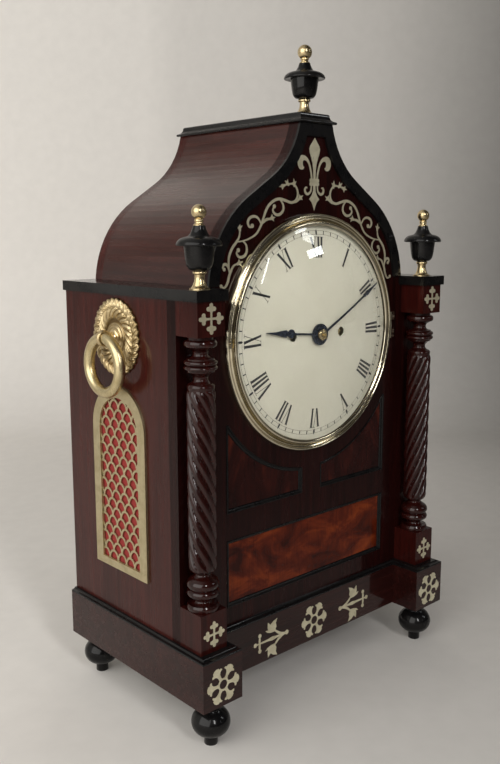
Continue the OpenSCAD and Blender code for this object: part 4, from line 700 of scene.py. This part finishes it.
def rosette(side):
    """A cast plate: petals, gadroons and beads round a hollow, with a post and the ring's eye."""
    way = "left" if side < 0 else "right"
    out, around = WAYS[way][2], spokes(way, 432)
    at = Vector((side * 168.75, spot("ring_handle_left")[2].y / MM, 365))
    edge, edge_thick, petals = 36.5, 0.7, 15

    def swell(x, low, high):
        """A half circle's height, from 0 at low and high to 1 between them."""
        return math.sqrt(max(0, 1 - ((2 * x - low - high) / (high - low)) ** 2))

    def rim(a):
        return edge - 2 * (1 - abs(math.cos(petals * a)) ** 0.7)

    def height(r, a):
        h = 1.0
        if 27.6 < r:
            twist = a + 0.02 * (r - 28)
            lobe = 1.3 * abs(math.cos(petals * twist)) ** 0.6
            lobe += 1.2 * abs(math.cos(3 * petals * twist))
            h += (0.9 + lobe) * swell(min(r, 36.3), 27.4, 36.9)
        if 16.6 < r <= 28.8:
            twist = 11 * (a - 0.035 * (r - 17))
            lobe = abs(math.sin(twist)) ** 0.6 + 0.3 * abs(math.sin(3 * twist))
            h = max(h, 1.1 + (0.9 + 2.3 * lobe) * swell(r, 16.4, 28.9))
        if r <= 14.2:
            h = max(h, 1 + 3 * swell(r, -14.3, 14.3) + 0.4 * math.cos(1.9 * r))
        return h

    rows = [[at + rim(a) * spoke for a, spoke in around]]
    for r in [edge, 36.2] + [36 - 0.42 * i for i in range(66)] + [7.5, 6.6]:
        row = []
        for a, spoke in around:
            lift = height(r, a) if r < edge else edge_thick
            reach = r * rim(a) / edge if r > 26 else r
            row.append(at + out * lift + reach * spoke)
        rows.append(row)
    parts = ["handle_rosettes"]
    skinned(f"{way}_rosette", rows, CAST_BRASS, "case", parts, 80)
    post = eased([
        (7.4, 3, 1), (7.6, 3.9), (6.6, 4.9), (5.4, 5.4, 1), (4.9, 6.6), (5, 9.3, 1), (0, 9.3),
    ])
    turned(f"{way}_handle_post", post, at, CAST_BRASS, "case", parts, way)
    eye = eased([
        (5.6, -2.4, 1), (6.6, -2.4), (7.4, -1.2), (7.4, 1.2), (6.6, 2.4), (5.6, 2.4, 1), (5.56, 0),
        (5.6, -2.4),
    ])
    turned(f"{way}_handle_eye", eye, at + out * 15, CAST_BRASS, "case", parts, "back", 64)


def on_dome(x, z):
    """A point just above the dial's paint, from its place across and above the dial's centre."""
    edge, rise, crown, lift = 106.5, 5.5, 7, 0.22
    radius = (edge**2 + rise**2) / (2 * rise)
    depth = crown - radius + math.sqrt(radius**2 - x * x - z * z) + lift
    return Vector((x, FRONT - depth, DIAL + z))


def figures():
    """Roman numerals and a ring of minute marks. The numerals' tops point outwards."""
    inner, outer, middle = 74.2, 93.6, 84
    thick, thin, bar = 1.2, 0.28, 0.45
    track_in, track_out, track_half = 96, 99.6, 0.13
    widths = {"I": 4.1, "V": 8.6, "X": 8.8}
    verts, faces = [], []

    def fill(points):
        """A filled outline, in (angle, radius) pairs."""
        first = len(verts)
        verts.extend(on_dome(r * math.sin(a), r * math.cos(a)) for a, r in points)
        faces.append(tuple(range(first, first + len(points))))

    def stroke(points, turn):
        """A filled outline in (across, radius) pairs, bent round the dial at the angle turn."""
        fill([(turn + across / middle, r) for across, r in points])

    def serif(x, half, turn, ends=(inner, outer)):
        for end in ends:
            r0, r1 = end - bar / 2, end + bar / 2
            stroke([(x - half, r0), (x + half, r0), (x + half, r1), (x - half, r1)], turn)

    def line(x0, x1, half, turn):
        foot = [(x0 - half, inner), (x0 + half, inner)]
        top = [(x1 + half, outer), (x1 - half, outer)]
        stroke(foot + top, turn)

    for hour, word in enumerate("I II III IIII V VI VII VIII IX X XI XII".split(), 1):
        turn = math.radians(30 * hour)
        x = -sum(widths[c] for c in word) / 2
        for c in word:
            mid = x + widths[c] / 2
            if c == "I":
                line(mid, mid, thick, turn)
                serif(mid, 1.9, turn)
            elif c == "V":
                line(mid + 0.2, mid - 2.8, thick, turn)
                line(mid + 0.2, mid + 3, thin, turn)
                for place in (mid - 2.8, mid + 3):
                    serif(place, 1.8, turn, (outer,))
            else:
                line(mid + 2.9, mid - 2.9, thick, turn)
                line(mid - 2.9, mid + 2.9, thin, turn)
                for place in (mid - 2.9, mid + 2.9):
                    serif(place, 1.6, turn)
            x += widths[c]
    for minute in range(60):
        a = math.radians(6 * minute)
        for k in range(3):
            b0, b1 = a + math.radians(2 * k), a + math.radians(2 * k + 2)
            for r in (track_in, track_out):
                r0, r1 = r - track_half, r + track_half
                fill([(b0, r0), (b1, r0), (b1, r1), (b0, r1)])
        if minute % 5:
            stroke([(-bar, track_in), (bar, track_in), (bar, track_out), (-bar, track_out)], a)
        else:
            stroke([(0, 94.9), (0.9, 96.2), (1, 98.6), (0, 101.2), (-1, 98.6), (-0.9, 96.2)], a)
    make("dial_figures", verts, faces, INK, "case")


def silks():
    """Silk stretched flat behind each fret, with an arched top and a slight ripple."""
    low, high, mid = spot("fret_silks")
    half = (high.y - low.y) / MM / 2
    foot, spring = low.z / MM, high.z / MM - half
    across, up, over = 24, 40, 16
    heights = [foot + (spring - foot) * i / up for i in range(up + 1)]
    heights += [spring + half * math.sin(math.pi / 2 * i / over) for i in range(1, over)]
    for side, name in ((-1, "left_silk"), (1, "right_silk")):
        x = side * 168.1
        rows = []
        for z in heights:
            reach = half if z <= spring else math.sqrt(half**2 - (z - spring) ** 2)
            row = []
            for k in range(across + 1):
                y = reach * (2 * k / across - 1)
                ripple = 0.12 * math.sin(0.21 * y + 0.05 * z) * math.sin(0.11 * z + 0.4 * side)
                row.append(Vector((x + ripple, mid.y / MM + y, z)))
            rows.append(row)
        cloth = skinned(name, rows, SILK, "case", ["fret_silks"], ring=False)


finials()
feet()
column("column_left", -1)
column("column_right", 1)
bezel()
panel_frames()
seat()
cap()
rosette(-1)
rosette(1)
figures()
silks()

# Small rounded edges, so that corners catch the light
EDGES = {
    "plinth": 0.7, "column_blocks": 0.6, "cornice": 0.8, "case_front": 0.5, "roof_shell": 0.5,
    "back_frame": 0.6, "back_door": 0.6, "case_sides": 0.5, "base_board": 0.6, "seat_board": 0.6,
    "arch_border": 0.8, "hour_hand": 0.16, "minute_hand": 0.16, "bezel_catch": 0.4,
    "front_plate": 0.3, "back_plate": 0.3,
}
for name, width in EDGES.items():
    edge = nodes[name].modifiers.new("edge", "BEVEL")
    edge.width = width * MM
    edge.segments = 2
    edge.limit_method = "ANGLE"
    edge.angle_limit = math.radians(30)


# Stage, light and camera. Lengths in this part are in metres.

# How far the camera looks to the right of straight back
VIEW_TURN = math.radians(42.4)


def stage():
    """A sheet that runs back along the camera's view and curves up into a wall."""
    look = Shader("stage_floor", Roughness=0.85, Specular_IOR_Level=0.2)
    # Painted light and shade: paler towards the window, on the left, and darker to the right
    x = look.split(look.place((0.625, 0.625, 0.625), (0, 0, VIEW_TURN)))["X"]
    painted_light_tones = ((0.09, 0.86), (0.33, 0.8), (0.38, 0.72), (0.5, 0.69), (0.7, 0.55), (0.9, 0.28))
    pale = look.ramp(
        look.maths("ADD", x, 0.5), *((at, (v, 0.965 * v, 0.92 * v)) for at, v in painted_light_tones)
    )
    mottle = look.ramp(look.noise(look.place(), 40, 4), (0.3, 0.96), (0.7, 1.0))
    look.colour(look.mix(1.0, pale, mottle, "MULTIPLY"))
    # From behind the sheet is clear, so that it never hides the clock
    behind = look.add("ShaderNodeNewGeometry").outputs["Backfacing"]
    look.clear_where(behind, look.add("ShaderNodeBsdfTransparent"))

    size, back, rise, radius, steps = 5.0, 1.35, 3.2, 0.35, 12
    path = [(-size, 0.0), (back - radius, 0.0)]
    for i in range(1, steps + 1):
        a = math.pi / 2 * i / steps
        path.append((back - radius + radius * math.sin(a), radius - radius * math.cos(a)))
    path.append((back, rise))
    turn = Matrix.Rotation(-VIEW_TURN, 3, "Z")
    verts = [turn @ Vector((side, d, z)) for side in (-size, size) for d, z in path]
    n = len(path)
    mesh = bpy.data.meshes.new("stage_floor")
    mesh.from_pydata(verts, [], [(n + i, n + i + 1, i + 1, i) for i in range(n - 1)])
    mesh.polygons.foreach_set("use_smooth", [True] * len(mesh.polygons))
    mesh.materials.append(look.mat)
    sheet = bpy.data.objects.new("stage_floor", mesh)
    bpy.context.scene.collection.objects.link(sheet)


# Name, place, width, height, power, colour and roll in degrees. Each points at LAMP_AIM.
LAMP_AIM = Vector((0, 0, 0.32))
COOL = (0.97, 0.99, 1)
LAMPS = (
    ("left_window", (-2.3, -0.45, 1.35), 3.1, 2.4, 52, (1, 0.985, 0.95), 0),
    ("front_window", (-0.75, -2.25, 1.55), 0.36, 1.0, 21, (1, 0.98, 0.97), 0),
    ("right_pane_low", (1.68, -1.73, 1.16), 0.35, 0.11, 1.2, COOL, 0),
    ("right_pane_mid", (1.66, -1.77, 1.39), 0.24, 0.13, 0.45, COOL, -30),
    ("right_pane_high", (1.51, -1.75, 1.6), 0.27, 0.26, 1.6, COOL, 0),
    ("door_gap", (0.77, -2.34, 1.08), 0.022, 0.43, 0.5, COOL, -34),
)


def area_light(name, place, width, height, power, colour, roll):
    lamp = bpy.data.lights.new(name, "AREA")
    lamp.shape = "RECTANGLE"
    lamp.size = width
    lamp.size_y = height
    lamp.energy = power
    lamp.color = colour
    obj = bpy.data.objects.new(name, lamp)
    obj.location = place
    turn = (LAMP_AIM - Vector(place)).to_track_quat("-Z", "Y").to_matrix()
    obj.rotation_euler = (turn @ Matrix.Rotation(math.radians(roll), 3, "Z")).to_euler()
    bpy.context.scene.collection.objects.link(obj)


def room_light():
    """A room that is pale behind and to the left, and dark to the front and right."""
    world = bpy.data.worlds.new("world")
    world.use_nodes = True
    tree = world.node_tree
    coords = add_node(tree, "ShaderNodeTexCoord")
    side = add_node(tree, "ShaderNodeVectorMath", operation="DOT_PRODUCT")
    tree.links.new(coords.outputs["Generated"], side.inputs[0])
    side.inputs[1].default_value = (-0.72, 0.66, 0.22)
    values = {"Value": side.outputs["Value"], "From_Min": -0.25, "From_Max": 0.7}
    spread = add_node(tree, "ShaderNodeMapRange", **values)
    dim, pale = (0.035, 0.033, 0.031), (0.62, 0.6, 0.56)
    ramp = add_ramp(tree, spread.outputs[0], (0.0, dim), (1.0, pale))
    ramp.color_ramp.interpolation = "EASE"
    tree.links.new(ramp.outputs["Color"], tree.nodes["Background"].inputs["Color"])
    bpy.context.scene.world = world


def camera():
    """The photo's camera, solved from points of the case."""
    data = bpy.data.cameras.new("camera")
    data.lens = 40.3
    data.sensor_width = 36.0
    data.shift_x = 0.0024
    data.shift_y = -0.0099
    obj = bpy.data.objects.new("camera", data)
    obj.location = (-0.6091, -0.6445, 0.4625)
    obj.rotation_euler = [math.radians(angle) for angle in (90 - 9.60, 0.10, -42.37)]
    bpy.context.scene.collection.objects.link(obj)
    bpy.context.scene.camera = obj
    bpy.context.scene.view_settings.view_transform = "Standard"


stage()
room_light()
for lamp_row in LAMPS:
    area_light(*lamp_row)
camera()
